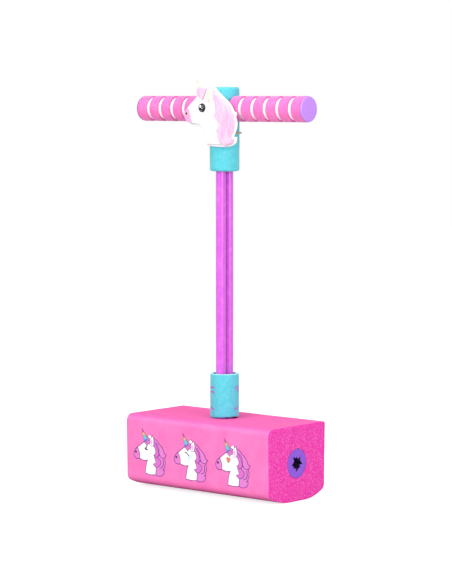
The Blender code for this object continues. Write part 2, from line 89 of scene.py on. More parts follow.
block_low, block_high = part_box("foam_block")
bore_height = (block_low.z + block_high.z) / 2
half_length = block_high.x
half_width = block_high.y
lower_turn = math.radians(SOLE_ARC_SWEEP - 90)
sole_end = Vector((
    0,
    SOLE_FLAT + SOLE_ARC_RADIUS * math.cos(lower_turn),
    SOLE_ARC_RADIUS * (1 + math.sin(lower_turn)),
))
lower_centre = sole_end - LOWER_CORNER * Vector((0, math.cos(lower_turn), math.sin(lower_turn)))
side_foot = (lower_centre.y + LOWER_CORNER, lower_centre.z)
side_head = (half_width, block_high.z - FRONT_CORNER)


def run(shape, start, place, lengths=1):
    """Draws a straight edge on from a point, in equal lengths, and gives its far end."""
    first = Vector(start.co)
    for step in range(1, lengths + 1):
        start = bmesh.ops.extrude_vert_indiv(shape, verts=[start])["verts"][0]
        start.co = first.lerp(Vector(place), step / lengths)
    return start


def turn(shape, start, centre, degrees, axis, steps):
    """Carries a point round a centre, drawing an arc of edges, and gives its far end."""
    made = bmesh.ops.spin(
        shape, geom=[start], cent=centre, axis=axis, angle=math.radians(degrees), steps=steps
    )
    return [part for part in made["geom_last"] if isinstance(part, bmesh.types.BMVert)][0]


def swell(place):
    """How far the foam stands proud of true at a place, in metres: the slow waves of an extrusion,
    which die away towards the cut ends."""
    slow = noise.noise(place / SLOW_WAVE)
    quick = noise.noise(place / QUICK_WAVE + Vector((3.1, 7.4, 1.9)))
    fade = min(max((half_length - abs(place.x)) / WAVE_FADE, 0), 1)
    return fade * (SLOW_WAVE_HEIGHT * slow + QUICK_WAVE_HEIGHT * quick)


def in_bore(place):
    """Whether a place is on the wall of the long bore."""
    return math.hypot(place[1], place[2] - bore_height) < BORE_RADIUS * 1.2


def round_rims(shape, radius, segments, on_rim):
    """Rounds the sharp edges that have both ends where a test says."""
    rims = [
        edge for edge in shape.edges
        if len(edge.link_faces) == 2
        and all(on_rim(vert.co) for vert in edge.verts)
        and edge.calc_face_angle() > 1
    ]
    bmesh.ops.bevel(
        shape, geom=rims, offset=radius, offset_type="OFFSET", segments=segments, profile=0.5,
        affect="EDGES", material=-1,
    )


def made_piece(name, shape, materials, sharp=35):
    """Turns a bmesh into a named object with its finishes, its faces outwards and its shading smooth."""
    bmesh.ops.remove_doubles(shape, verts=shape.verts, dist=WELDED)
    bmesh.ops.recalc_face_normals(shape, faces=shape.faces)
    mesh = bpy.data.meshes.new(name)
    shape.to_mesh(mesh)
    shape.free()
    for material in materials:
        mesh.materials.append(material)
    mesh.shade_smooth()
    mesh.set_sharp_from_angle(angle=math.radians(sharp))
    piece = bpy.data.objects.new(name, mesh)
    bpy.context.scene.collection.objects.link(piece)
    return piece


def evaluated_mesh(piece):
    """The piece's mesh as its modifiers leave it."""
    bpy.context.view_layer.update()
    graph = bpy.context.evaluated_depsgraph_get()
    return bpy.data.meshes.new_from_object(piece.evaluated_get(graph))


def bore(piece, radius, depth, middle, sides):
    """Cuts a round hole out of a piece, about the place and along the Z axis that a matrix gives."""
    shape = bmesh.new()
    bmesh.ops.create_cone(
        shape, cap_ends=True, segments=sides, radius1=radius, radius2=radius, depth=depth, matrix=middle
    )
    cutter = made_piece("cutter", shape, [])
    modifier = piece.modifiers.new("bore", "BOOLEAN")
    modifier.object = cutter
    mesh = evaluated_mesh(piece)
    piece.modifiers.remove(modifier)
    piece.data = mesh
    bpy.data.objects.remove(cutter)


def hang(piece, body, slot, *nodes):
    """Hangs a piece on its body and hides the CAD nodes that it stands for. The slot is not used."""
    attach(piece, body)
    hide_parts(*nodes)


def linear(code):
    """A linear colour from an sRGB hex value."""
    parts = [int(code[i : i + 2], 16) / 255 for i in (1, 3, 5)]
    return (*[p / 12.92 if p <= 0.04045 else ((p + 0.055) / 1.055) ** 2.4 for p in parts], 1)


def pattern(place, size, **others):
    """The inputs of a pattern whose features are so many millimetres across."""
    return {"Vector": place, "Scale": 1000 / size, **others}


def add(tree, kind, inputs=(), **settings):
    """Adds one shader node with its settings, fills or links the inputs given by name or number, with
    colours as hex values, and gives its first live output. A mix is always one of colours."""
    made = tree.nodes.new("ShaderNode" + kind)
    if kind == "Mix":
        made.data_type = "RGBA"
    for name, value in settings.items():
        setattr(made, name, value)
    for name, value in dict(inputs).items():
        if isinstance(value, bpy.types.NodeSocket):
            tree.links.new(value, made.inputs[name])
        else:
            made.inputs[name].default_value = linear(value) if isinstance(value, str) else value
    return next(output for output in made.outputs if output.enabled)


def join(shader, **outputs):
    """Links outputs to the shader's inputs of those names."""
    for name, output in outputs.items():
        shader.id_data.links.new(output, shader.inputs[name.replace("_", " ")])


def new_finish(name, **sockets):
    """A material with those constant shader values, its tree, its shader and the place on the piece."""
    material = bpy.data.materials.new(name)
    material.use_nodes = True
    tree = material.node_tree
    shader = tree.nodes["Principled BSDF"]
    for socket, value in sockets.items():
        shader.inputs[socket.replace("_", " ")].default_value = value
    return material, tree, shader, add(tree, "TexCoord").node.outputs["Object"]


def extruded_foam_skin():
    """Extruded polyethylene foam skin: satin, cloudy, with cells that show faintly through it. The top
    is painted a deeper pink as painted shade, for the matt top face takes less light than the front."""
    material, tree, shader, place = new_finish("extruded_foam_skin", IOR=1.4, Specular_IOR_Level=0.3)
    cloud = add(tree, "TexNoise", pattern(place, 24, Detail=3.0))
    mottle = add(tree, "TexNoise", pattern(place, 2.4, Detail=2.0))
    haze = add(tree, "MapRange", {"Value": cloud, "From Min": 0.38, "From Max": 0.66})
    fleck = add(tree, "MapRange", {"Value": mottle, "From Min": 0.35, "From Max": 0.68, "To Max": 0.1})
    deep = add(tree, "Mix", {0: haze, 6: SKIN_PINK, 7: SKIN_PINK_DEEP})
    # Painted shade: from 5 mm below the block's top upwards, the colour turns to the deeper top pink.
    height = add(tree, "SeparateXYZ", {0: place}).node.outputs["Z"]
    painted_top_shade = add(tree, "MapRange", {
        "Value": height, "From Min": block_high.z - 0.005, "From Max": block_high.z - 0.001,
    })
    top = add(tree, "Mix", {0: painted_top_shade, 6: deep, 7: TOP_PAINTED_SHADE_PINK})
    colour = add(tree, "Mix", {0: fleck, 6: top, 7: FLECK_PINK})
    gloss = add(tree, "MapRange", {"Value": cloud, "To Min": 0.62, "To Max": 0.75})
    cells = add(tree, "TexVoronoi", pattern(place, 1.6))
    soft = add(tree, "Bump", {"Height": mottle, "Strength": 0.5, "Distance": 0.00025})
    pebble = add(tree, "Bump", {"Height": cells, "Normal": soft, "Strength": 0.2, "Distance": 0.0001})
    join(shader, Base_Color=colour, Roughness=gloss, Normal=pebble)
    return material


def wire_cut_foam():
    """Foam cut by a hot wire: open cells, so it is matt, deeper in colour and flecked light and dark.
    The real cells are under a millimetre, and these are drawn coarser so that they show."""
    material, tree, shader, place = new_finish(
        "wire_cut_foam", IOR=1.4, Roughness=0.9, Specular_IOR_Level=0.3,
    )
    coarse = add(tree, "TexNoise", pattern(place, 1.7, Detail=4.0))
    other = add(tree, "TexNoise", pattern(place, 2.1, Detail=3.0, Distortion=0.4))
    cells = add(tree, "TexVoronoi", pattern(place, 1.5))
    lit = add(tree, "MapRange", {"Value": coarse, "From Min": 0.5, "From Max": 0.66, "To Max": 0.8})
    shaded = add(tree, "MapRange", {"Value": other, "From Min": 0.54, "From Max": 0.66, "To Max": 0.4})
    pale = add(tree, "Mix", {0: lit, 6: CUT_PINK, 7: CUT_PINK_LIGHT})
    dark = add(tree, "Mix", {0: shaded, 6: pale, 7: CUT_PINK_DARK})
    rough = add(tree, "Bump", {"Height": cells, "Strength": 0.7, "Distance": 0.0005})
    join(shader, Base_Color=dark, Normal=rough)
    return material


shape = bmesh.new()
for side, upper_corner in ((1, BACK_CORNER), (-1, FRONT_CORNER)):
    point = shape.verts.new((-half_length, 0, block_low.z))
    point = run(shape, point, (-half_length, side * SOLE_FLAT, block_low.z), 4)
    arc_centre = (0, side * SOLE_FLAT, SOLE_ARC_RADIUS)
    point = turn(shape, point, arc_centre, side * SOLE_ARC_SWEEP, ALONG_X, 10)
    arc_centre = (0, side * lower_centre.y, lower_centre.z)
    point = turn(shape, point, arc_centre, side * (90 - SOLE_ARC_SWEEP), ALONG_X, 8)
    point = run(shape, point, (-half_length, side * half_width, block_high.z - upper_corner), 20)
    arc_centre = (0, side * (half_width - upper_corner), block_high.z - upper_corner)
    point = turn(shape, point, arc_centre, side * 90, ALONG_X, 12)
    run(shape, point, (-half_length, 0, block_high.z), 13)
bmesh.ops.remove_doubles(shape, verts=shape.verts, dist=TOUCHING)
near_end = shape.edges[:]
made = bmesh.ops.extrude_edge_only(shape, edges=near_end)["geom"]
far_points = [part for part in made if isinstance(part, bmesh.types.BMVert)]
bmesh.ops.translate(shape, vec=(2 * half_length, 0, 0), verts=far_points)
far_end = [edge for edge in shape.edges if all(vert.co.x > 0 for vert in edge.verts)]
bores = []
for x, rim in ((-half_length, near_end), (half_length, far_end)):
    facing = Matrix.Translation((x, 0, bore_height)) @ Matrix.Rotation(math.pi / 2, 4, "Y")
    ring = bmesh.ops.create_circle(shape, segments=len(rim), radius=BORE_RADIUS, matrix=facing)
    ring_points = set(ring["verts"])
    ring_edges = [edge for edge in shape.edges if set(edge.verts) <= ring_points]
    bores.append(ring_edges)
    spokes = bmesh.ops.bridge_loops(shape, edges=rim + ring_edges)["edges"]
    bmesh.ops.subdivide_edges(shape, edges=spokes, cuts=7, use_grid_fill=True)
bmesh.ops.bridge_loops(shape, edges=bores[0] + bores[1])
long_edges = [
    edge for edge in shape.edges
    if edge.calc_length() > 1.9 * half_length and not in_bore(edge.verts[0].co)
]
bmesh.ops.subdivide_edges(shape, edges=long_edges, cuts=69, use_grid_fill=True)
bmesh.ops.recalc_face_normals(shape, faces=shape.faces)
round_rims(shape, CUT_EDGE, 3, lambda place: abs(abs(place.x) - half_length) < TOUCHING)
bmesh.ops.recalc_face_normals(shape, faces=shape.faces)
shape.normal_update()
for vert in shape.verts:
    if not in_bore(vert.co):
        vert.co += vert.normal * swell(vert.co) * min(vert.co.z / SOLE_FADE, 1)
for face in shape.faces:
    centre = face.calc_center_median()
    face.material_index = int(in_bore(centre) or abs(centre.x) > half_length - CUT_EDGE * 0.8)
foam_skin = extruded_foam_skin()
cut_foam = wire_cut_foam()
foam_block = made_piece("block_foam", shape, [foam_skin, cut_foam])

hole_depth = block_high.z - bore_height + HOLE_EXCESS
hole_middle = Matrix.Translation((0, 0, bore_height + hole_depth / 2))
bore(foam_block, CORD_HOLE_RADIUS, hole_depth, hole_middle, 64)
hang(foam_block, "base", "block_foam", "foam_block")


# Printed unicorn heads
# Three plain unicorn heads, pad-printed one colour at a time on the block's front skin. Each ink is a
# film a few hundredths of a millimetre thick, and a dark line shows round every colour.

INK_FILM = 0.00004
INK_STEP = 0.00003
LINE_WIDTH = 0.85
PRINT_PITCH = 0.082
PRINT_MIDDLE = -0.0112
PRINT_HEIGHT = 0.0515
MILLIMETRE = 0.001
CURVE_STEPS = 8


def move(shape, matrix):
    """Moves a whole bmesh by a matrix."""
    bmesh.ops.transform(shape, matrix=matrix, verts=shape.verts)


def plate(outline, thickness, grow=0.0, unit=1.0):
    """A flat plate about y = 0 that faces -Y, inside an outline of (x, z) points. The outline runs
    smoothly through them all, but for those marked as a corner."""
    curve = bpy.data.curves.new("outline", "CURVE")
    curve.dimensions = "2D"
    curve.fill_mode = "BOTH"
    curve.extrude = thickness / 2 / unit
    curve.offset = grow
    curve.resolution_u = CURVE_STEPS
    spline = curve.splines.new("BEZIER")
    spline.bezier_points.add(len(outline) - 1)
    spline.use_cyclic_u = True
    for handle, (x, z, *corner) in zip(spline.bezier_points, outline):
        handle.co = (x, z, 0)
        handle.handle_left_type = "VECTOR" if corner else "AUTO"
        handle.handle_right_type = handle.handle_left_type
    drawing = bpy.data.objects.new("outline", curve)
    bpy.context.scene.collection.objects.link(drawing)
    mesh = evaluated_mesh(drawing)
    bpy.data.objects.remove(drawing)
    shape = bmesh.new()
    shape.from_mesh(mesh)
    bpy.data.meshes.remove(mesh)
    move(shape, Matrix.Rotation(math.pi / 2, 4, "X") @ Matrix.Scale(unit, 4))
    bmesh.ops.remove_doubles(shape, verts=shape.verts, dist=TOUCHING * max(unit, 0.1))
    return shape


def diced(shape, step):
    """Cuts a shape along a grid in X and Z, so that it can be bent to a curved surface."""
    for axis in (0, 2):
        low = min(vert.co[axis] for vert in shape.verts)
        high = max(vert.co[axis] for vert in shape.verts)
        normal = [0, 0, 0]
        normal[axis] = 1
        for i in range(int(low / step), int(high / step) + 1):
            place = [0, 0, 0]
            place[axis] = i * step
            whole = shape.verts[:] + shape.edges[:] + shape.faces[:]
            bmesh.ops.bisect_plane(shape, geom=whole, dist=1e-7, plane_co=place, plane_no=normal)
    return shape


def stroke(points, width):
    """The outline of a pen stroke along some points, tapered to both ends."""
    left, right = [], []
    last = len(points) - 1
    for i, (u, v) in enumerate(points):
        before, after = points[max(i - 1, 0)], points[min(i + 1, last)]
        along = Vector((after[0] - before[0], after[1] - before[1])).normalized()
        half = width / 2 * (0.35 + 0.65 * math.sin(math.pi * i / last))
        left.append((u - along.y * half, v + along.x * half))
        right.append((u + along.y * half, v - along.x * half))
    return left + right[::-1]


def printing_ink(name, colour, worn):
    """Pad-printing ink: a thin satin film that follows the foam's pebble and thins a little in specks."""
    material, tree, shader, place = new_finish(name, IOR=1.5, Roughness=0.5)
    speck = add(tree, "TexNoise", pattern(place, 0.9, Detail=3.0))
    thin = add(tree, "MapRange", {"Value": speck, "From Min": 0.55, "From Max": 0.75, "To Max": 0.5})
    tone = add(tree, "Mix", {0: thin, 6: colour, 7: worn})
    pebble = add(tree, "Bump", {"Height": speck, "Strength": 0.3, "Distance": 0.0001})
    join(shader, Base_Color=tone, Normal=pebble)
    return material


def rainbow_ink(bottom, top):
    """Five inks laid side by side up the horn, which blend where their dots overlap."""
    material, tree, shader, place = new_finish("ink_rainbow", IOR=1.5, Roughness=0.5)
    height = add(tree, "SeparateXYZ", {0: place}).node.outputs["Z"]
    up = add(tree, "MapRange", {"Value": height, "From Min": bottom, "From Max": top})
    ramp = add(tree, "ValToRGB", {0: up})
    bands = [
        (0.0, "#6A55B8"), (0.18, "#4F7FD0"), (0.38, "#5AD0E6"), (0.55, "#55C79A"),
        (0.70, "#F0D070"), (0.85, "#B85A5A"), (1.0, "#8A4A60"),
    ]
    colours = ramp.node.color_ramp
    for place_up, code in bands[1:-1]:
        colours.elements.new(place_up).color = linear(code)
    colours.elements[0].color = linear(bands[0][1])
    colours.elements[-1].color = linear(bands[-1][1])
    dots = add(tree, "TexNoise", pattern(place, 0.8))
    pebble = add(tree, "Bump", {"Height": dots, "Strength": 0.3, "Distance": 0.0001})
    join(shader, Base_Color=ramp, Normal=pebble)
    return material


INKS = ["line", "dark", "white", "mane", "mane_deep", "muzzle", "ear", "horn", "tear", "heart"]
ink_finishes = {
    "line": printing_ink("ink_line", "#7A2F86", "#8E4A98"),
    "dark": printing_ink("ink_dark", "#1E1622", "#3A2E40"),
    "white": printing_ink("ink_white", "#FFFFFF", "#FDEFF8"),
    "mane": printing_ink("ink_mane", "#DE7CCC", "#E68CD2"),
    "mane_deep": printing_ink("ink_mane_deep", "#D66CC6", "#DE7ECC"),
    "muzzle": printing_ink("ink_muzzle", "#E07ACA", "#E688CE"),
    "ear": printing_ink("ink_ear", "#F2B2DC", "#F4BCE0"),
    "horn": rainbow_ink(PRINT_HEIGHT + 0.0185, PRINT_HEIGHT + 0.0385),
    "tear": printing_ink("ink_tear", "#BFE6F4", "#D2EEF6"),
    "heart": printing_ink("ink_heart", "#F8735B", "#F58A74"),
}

# Outlines in millimetres from the head's centre: across, up, and whether the point is a corner.
FACE = [
    (-11.2, 18.6), (-20.0, 12.6), (-28.9, 6.1), (-31.2, 1.2), (-30.0, -4.0), (-26.0, -6.2), (-20.4, -5.8),
    (-10.5, -7.7), (-3.0, -6.2, "corner"), (-4.9, -10.3), (-7.2, -18.5), (-8.4, -27.2, "corner"),
    (1.5, -28.2), (11.5, -27.6, "corner"), (12.6, -15.0), (12.2, -3.0), (12.8, 6.0), (9.0, 15.5),
    (3.0, 21.0), (-4.5, 21.6),
]
MUZZLE = [(-24.0, 9.5, "corner"), *FACE[2:6], (-20.6, -5.8, "corner"), (-20.6, 1.4)]
HORN = [(-9.8, 19.8, "corner"), (-13.6, 38.4, "corner"), (-4.4, 26.4, "corner"), (-7.0, 21.6)]
FAR_EAR = [
    (-2.6, 26.6, "corner"), (-0.8, 30.2), (2.0, 31.4, "corner"), (3.8, 28.4), (3.2, 25.6, "corner"),
]
EAR = [(1.0, 20.2), (2.4, 24.6), (7.4, 29.4, "corner"), (8.8, 22.0), (8.0, 15.4, "corner"), (3.6, 15.0)]
INNER_EAR = [(2.8, 20.4), (6.4, 26.4, "corner"), (6.8, 20.0), (5.6, 16.4), (3.4, 17.0)]
FORELOCK = [
    (-9.4, 20.6, "corner"), (-5.6, 25.2), (-0.6, 25.8), (1.8, 22.6), (0.0, 18.8), (-3.2, 17.4),
    (-4.4, 15.2, "corner"), (-7.2, 17.6),
]
LOW_LOCK = [
    (11.5, 2.0), (22.0, 1.0), (29.6, -2.4), (31.2, -9.2), (28.8, -16.0), (26.0, -20.6, "corner"),
    (29.4, -19.6, "corner"), (27.8, -25.0), (19.5, -28.8), (12.6, -27.0), (10.6, -20.0), (11.4, -10.0),
]
MIDDLE_LOCK = [
    (11.0, -1.0), (17.5, -3.0), (22.4, -8.0), (21.0, -11.8), (16.8, -15.0), (12.8, -16.0),
    (8.2, -12.4, "corner"), (12.6, -10.6), (12.4, -6.0),
]
INNER_LOCK = [
    (7.6, 26.4, "corner"), (12.5, 22.4), (17.2, 15.0), (18.8, 7.0), (17.4, 0.8), (14.8, -0.8),
    (9.4, 1.0, "corner"), (12.8, 4.4), (12.8, 9.0), (9.6, 16.0),
]
OUTER_LOCK = [
    (7.6, 27.4, "corner"), (13.8, 24.2), (19.4, 19.0), (25.2, 14.2), (28.6, 8.6), (29.8, 5.0, "corner"),
    (33.2, 4.2, "corner"), (30.4, -0.2), (24.8, -0.2), (20.4, 4.4), (17.6, 12.0), (12.8, 20.0),
]
HEART = [
    (-7.0, 5.8, "corner"), (-10.6, 9.6), (-10.0, 13.0), (-7.6, 13.0), (-6.6, 11.8, "corner"),
    (-5.0, 12.6), (-3.2, 10.8), (-4.2, 8.0),
]


def dot(u, v, width, height):
    """A round spot as four smooth points."""
    turns = ((1, 0), (0, 1), (-1, 0), (0, -1))
    return [(u + x * width / 2, v + y * height / 2) for x, y in turns]


SQUINT = [
    ("dark", stroke([(-4.8, 14.4), (-5.8, 12.0), (-8.2, 10.4)], 1.3), 0.0),
    ("dark", stroke([(-9.0, 11.0), (-7.6, 9.4), (-5.4, 8.9), (-2.8, 8.8)], 2.0), 0.0),
]
LAUGH = [
    ("dark", stroke([(-10.6, 12.2), (-8.0, 12.0), (-4.8, 9.6), (-1.4, 6.6)], 1.3), 0.0),
    ("tear", dot(-2.2, 3.6, 3.4, 4.4), 0.0),
    ("tear", dot(2.2, 6.2, 3.0, 3.4), 0.0),
    ("tear", dot(0.4, 8.6, 2.2, 2.0), 0.0),
]
LOVE = [("heart", HEART, 0.0), ("dark", stroke([(-9.4, 7.4), (-7.0, 5.4), (-4.6, 7.2)], 0.7), 0.0)]
HEAD_COLOURS = [
    ("white", FAR_EAR, 1.0), ("mane", LOW_LOCK, 1.3), ("white", FACE, 1.5),
    ("muzzle", MUZZLE, 1.3), ("mane_deep", MIDDLE_LOCK, 1.2), ("mane_deep", INNER_LOCK, 1.2),
    ("mane", OUTER_LOCK, 1.2), ("white", EAR, 0.9), ("ear", INNER_EAR, 0.0),
    ("mane", FORELOCK, 1.1), ("horn", HORN, 0.7),
    ("line", stroke([(-4.6, 18.6), (-5.8, 21.6), (-3.4, 23.6), (-0.8, 22.2), (-2.2, 20.2)], 1.0), 0.0),
    ("line", stroke([(27.4, -3.4), (28.4, -9.0), (26.0, -15.0), (21.0, -17.0)], 1.0), 0.0),
    ("line", stroke([(14.0, 21.0), (18.6, 14.0), (19.8, 7.0), (19.6, 1.0)], 1.0), 0.0),
    ("dark", dot(-27.4, 3.4, 3.4, 3.6), 0.0),
]


def add_to(whole, part):
    """Adds one bmesh's faces to another's."""
    mesh = bpy.data.meshes.new("part")
    part.to_mesh(mesh)
    part.free()
    whole.from_mesh(mesh)
    bpy.data.meshes.remove(mesh)


def front_at(x, z):
    """How far forward the block's front skin stands at a place, waves and all."""
    share = (z - side_foot[1]) / (side_head[1] - side_foot[1])
    y = side_foot[0] + share * (side_head[0] - side_foot[0])
    if z < lower_centre.z:
        y = lower_centre.y + math.sqrt(LOWER_CORNER ** 2 - (lower_centre.z - z) ** 2)
    return -y - swell(Vector((x, -y, z)))


def print_head(name, across, eye):
    """One head: its inks in the order they are printed, each a little higher than the last."""
    whole = bmesh.new()
    layer = 0
    for colour, outline, line in HEAD_COLOURS + eye:
        films = [("line", LINE_WIDTH * line)] if line else []
        for ink, grow in films + [(colour, 0.0)]:
            layer += 1
            film = diced(plate(outline, INK_FILM, grow, MILLIMETRE), 0.005)
            for vert in film.verts:
                x, z = vert.co.x + across, vert.co.z + PRINT_HEIGHT
                lift = INK_STEP * (layer + 1)
                vert.co = (x, front_at(x, z) - lift + vert.co.y, z)
            for face in film.faces:
                face.material_index = INKS.index(ink)
            add_to(whole, film)
    head = made_piece(name, whole, [ink_finishes[ink] for ink in INKS])
    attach(head, "base")


for number, eye in enumerate((SQUINT, LAUGH, LOVE)):
    print_head(f"printed_head_{number + 1}", PRINT_MIDDLE + (number - 1) * PRINT_PITCH, eye)


# Bore liner, anchor pin and squeaker
# A length of white PVC pipe spreads the pull of the cord inside the foam, and a rod across it holds the
# loop's end. Beside it lies the squeaker: a blow-moulded bulb with a hard reed pushed into its mouth.


def moulded_plastic(name, colour, shade, roughness, grain=0.7):
    """Moulded thermoplastic: an even colour under a faint grain from the mould, with a soft shine."""
    material, tree, shader, place = new_finish(name, IOR=1.5)
    flow = add(tree, "TexNoise", pattern(place, 14, Detail=2.0))
    fine = add(tree, "TexNoise", pattern(place, grain, Detail=3.0))
    tone = add(tree, "Mix", {0: flow, 6: colour, 7: shade})
    gloss = add(tree, "MapRange", {"Value": fine, "To Min": roughness - 0.06, "To Max": roughness + 0.08})
    skin = add(tree, "Bump", {"Height": fine, "Strength": 0.2, "Distance": 0.00008})
    join(shader, Base_Color=tone, Roughness=gloss, Normal=skin)
    return material


pipe_plastic = moulded_plastic("extruded_white_pvc", "#F4F4F0", "#E6E7E4", 0.4)
bulb_plastic = moulded_plastic("blow_moulded_bulb", "#F2EFE4", "#E4E0D2", 0.5, grain=1.5)
reed_plastic = moulded_plastic("moulded_reed", "#7E5BD0", "#6E4CC0", 0.35)
for node, plastic in (
    ("bore_liner", pipe_plastic),
    ("anchor_pin", pipe_plastic),
    ("handle_core", pipe_plastic),
    ("squeaker_bulb", bulb_plastic),
    ("squeaker_reed", reed_plastic),
):
    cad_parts[node].data.materials.clear()
    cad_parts[node].data.materials.append(plastic)


# End plugs
# Purple foam discs pushed into both ends of the bore. A knife cuts a ragged star through each one, so
# that air and the squeak get out.

PLUG_RADIUS = BORE_RADIUS - 0.0003
PLUG_LENGTH = 0.036
VENT_RADIUS = 0.0138
VENT_ARMS = 8
PLUG_EDGE = 0.0005
PLUG_RECESS = 0.0004


def star_points():
    """The vent's outline: a star whose arms differ in length and lean, as knife cuts in foam do."""
    points = []
    for i in range(VENT_ARMS):
        lean = 2 * math.pi * (i + 0.18 * math.sin(2.3 * i)) / VENT_ARMS
        points.append((VENT_RADIUS * (0.86 + 0.14 * math.sin(4.1 * i + 0.6)), lean))
        lean = 2 * math.pi * (i + 0.5) / VENT_ARMS
        points.append((VENT_RADIUS * (0.56 + 0.07 * math.cos(3.3 * i)), lean))
    return [(reach * math.cos(lean), reach * math.sin(lean)) for reach, lean in points]


def sawn_foam(name, colour, light, dark, cell, sheen):
    """Closed-cell foam with a sawn or sanded face: matt and velvety, paler where it is seen edge-on."""
    material, tree, shader, place = new_finish(name, IOR=1.45, Sheen_Weight=sheen, Sheen_Roughness=0.4)
    cloud = add(tree, "TexNoise", pattern(place, 7, Detail=4.0))
    fine = add(tree, "TexNoise", pattern(place, cell * 1.4, Detail=3.0))
    cells = add(tree, "TexVoronoi", pattern(place, cell))
    haze = add(tree, "MapRange", {"Value": cloud, "From Min": 0.36, "From Max": 0.66})
    fleck = add(tree, "MapRange", {"Value": fine, "From Min": 0.48, "From Max": 0.68, "To Max": 0.55})
    tone = add(tree, "Mix", {0: haze, 6: colour, 7: light})
    flecked = add(tree, "Mix", {0: fleck, 6: tone, 7: dark})
    rough = add(tree, "MapRange", {"Value": fine, "To Min": 0.68, "To Max": 0.86})
    relief = add(tree, "Bump", {"Height": cells, "Strength": 0.45, "Distance": 0.0003})
    join(shader, Base_Color=flecked, Roughness=rough, Normal=relief)
    return material


plug_foam = sawn_foam("sawn_purple_foam", "#8450CC", "#8E58D4", "#7443BC", cell=1.0, sheen=0.1)
# Painted shade: the vent's walls are near-black purple, standing for the dark hollow inside.
vent_painted_shade = sawn_foam("painted_shade_purple_foam", "#1C0A38", "#240E48", "#120626", cell=1.0, sheen=0.0)
for side, direction in (("right", 1), ("left", -1)):
    shape = bmesh.new()
    rim = bmesh.ops.create_circle(shape, segments=VENT_ARMS * 8, radius=PLUG_RADIUS)["verts"]
    vent = [shape.verts.new((x, y, 0)) for x, y in star_points()]
    cuts = [shape.edges.new((a, b)) for a, b in zip(vent, vent[1:] + vent[:1])]
    bmesh.ops.subdivide_edges(shape, edges=cuts, cuts=3)
    spokes = bmesh.ops.bridge_loops(shape, edges=shape.edges[:])["edges"]
    bmesh.ops.subdivide_edges(shape, edges=spokes, cuts=3, use_grid_fill=True)
    back = bmesh.ops.extrude_face_region(shape, geom=shape.faces[:])["geom"]
    sunk = [part for part in back if isinstance(part, bmesh.types.BMVert)]
    bmesh.ops.translate(shape, vec=(0, 0, -PLUG_LENGTH), verts=sunk)
    round_rims(shape, PLUG_EDGE, 2, lambda place: place.z > -TOUCHING)
    # Faces inside the vent take the painted shade.
    for face in shape.faces:
        middle = face.calc_center_median()
        in_vent = middle.z < -0.0008 and middle.xy.length < PLUG_RADIUS * 0.8
        face.material_index = int(in_vent and middle.z > 0.001 - PLUG_LENGTH)
    outward = Matrix.Rotation(direction * math.pi / 2, 4, "Y")
    place = Matrix.Translation((direction * (half_length - PLUG_RECESS), 0, bore_height))
    move(shape, place @ outward)
    plug = made_piece(f"plug_foam_{side}", shape, [plug_foam, vent_painted_shade])
    hang(plug, "base", "plug_foam", f"end_plug_{side}")


# Lower collar
# A short length of teal foam tube, sawn off a little out of square, that stands on the block and keeps
# the two cords together. A few violet dashes are printed on its sides.

COLLAR_BORE = 0.0173
COLLAR_ROUNDING = 0.0014
COLLAR_SLANT = 0.0022
DASH_FILM = 0.00006
DASH_LIFT = 0.00016
# Degrees round from +X, height above the collar's foot, length and width in metres, degrees of slope.
DASHES = [
    (-110, 0.0456, 0.0130, 0.0024, 0), (-110, 0.0390, 0.0130, 0.0024, 0),
    (-126, 0.0290, 0.0150, 0.0010, 90), (-110, 0.0146, 0.0105, 0.0028, -20),
    (11, 0.0465, 0.0135, 0.0018, 14), (16, 0.0440, 0.0100, 0.0016, 16),
    (19, 0.0405, 0.0085, 0.0018, -18), (-3, 0.0145, 0.0050, 0.0022, -40),
    (12, 0.0152, 0.0070, 0.0022, 32),
]


def revolve(shape, steps):
    """Spins a drawn section full circle about Z."""
    bmesh.ops.spin(
        shape, geom=shape.verts[:] + shape.edges[:], cent=(0, 0, 0), axis=UPRIGHT,
        angle=2 * math.pi, steps=steps, use_merge=True,
    )


def tube_wall(outer, inner, bottom, top, outer_round, inner_round, lengths, steps=96):
    """A tube about Z: half of its wall's section is drawn with round rims, then spun full circle."""
    shape = bmesh.new()
    axis = ALONG_Y
    point = shape.verts.new((outer, 0, bottom + outer_round))
    point = run(shape, point, (outer, 0, top - outer_round), lengths)
    point = turn(shape, point, (outer - outer_round, 0, top - outer_round), -90, axis, 5)
    point = run(shape, point, (inner + inner_round, 0, top))
    point = turn(shape, point, (inner + inner_round, 0, top - inner_round), -90, axis, 3)
    point = run(shape, point, (inner, 0, bottom + inner_round), 2)
    point = turn(shape, point, (inner + inner_round, 0, bottom + inner_round), -90, axis, 3)
    point = run(shape, point, (outer - outer_round, 0, bottom))
    turn(shape, point, (outer - outer_round, 0, bottom + outer_round), -90, axis, 5)
    bmesh.ops.remove_doubles(shape, verts=shape.verts, dist=TOUCHING)
    revolve(shape, steps)
    bmesh.ops.remove_doubles(shape, verts=shape.verts, dist=TOUCHING)
    return shape


def soften(shape, height, size):
    """Lets a foam surface wander by a fraction of a millimetre."""
    bmesh.ops.recalc_face_normals(shape, faces=shape.faces)
    shape.normal_update()
    for vert in shape.verts:
        vert.co += vert.normal * height * noise.noise(vert.co / size)


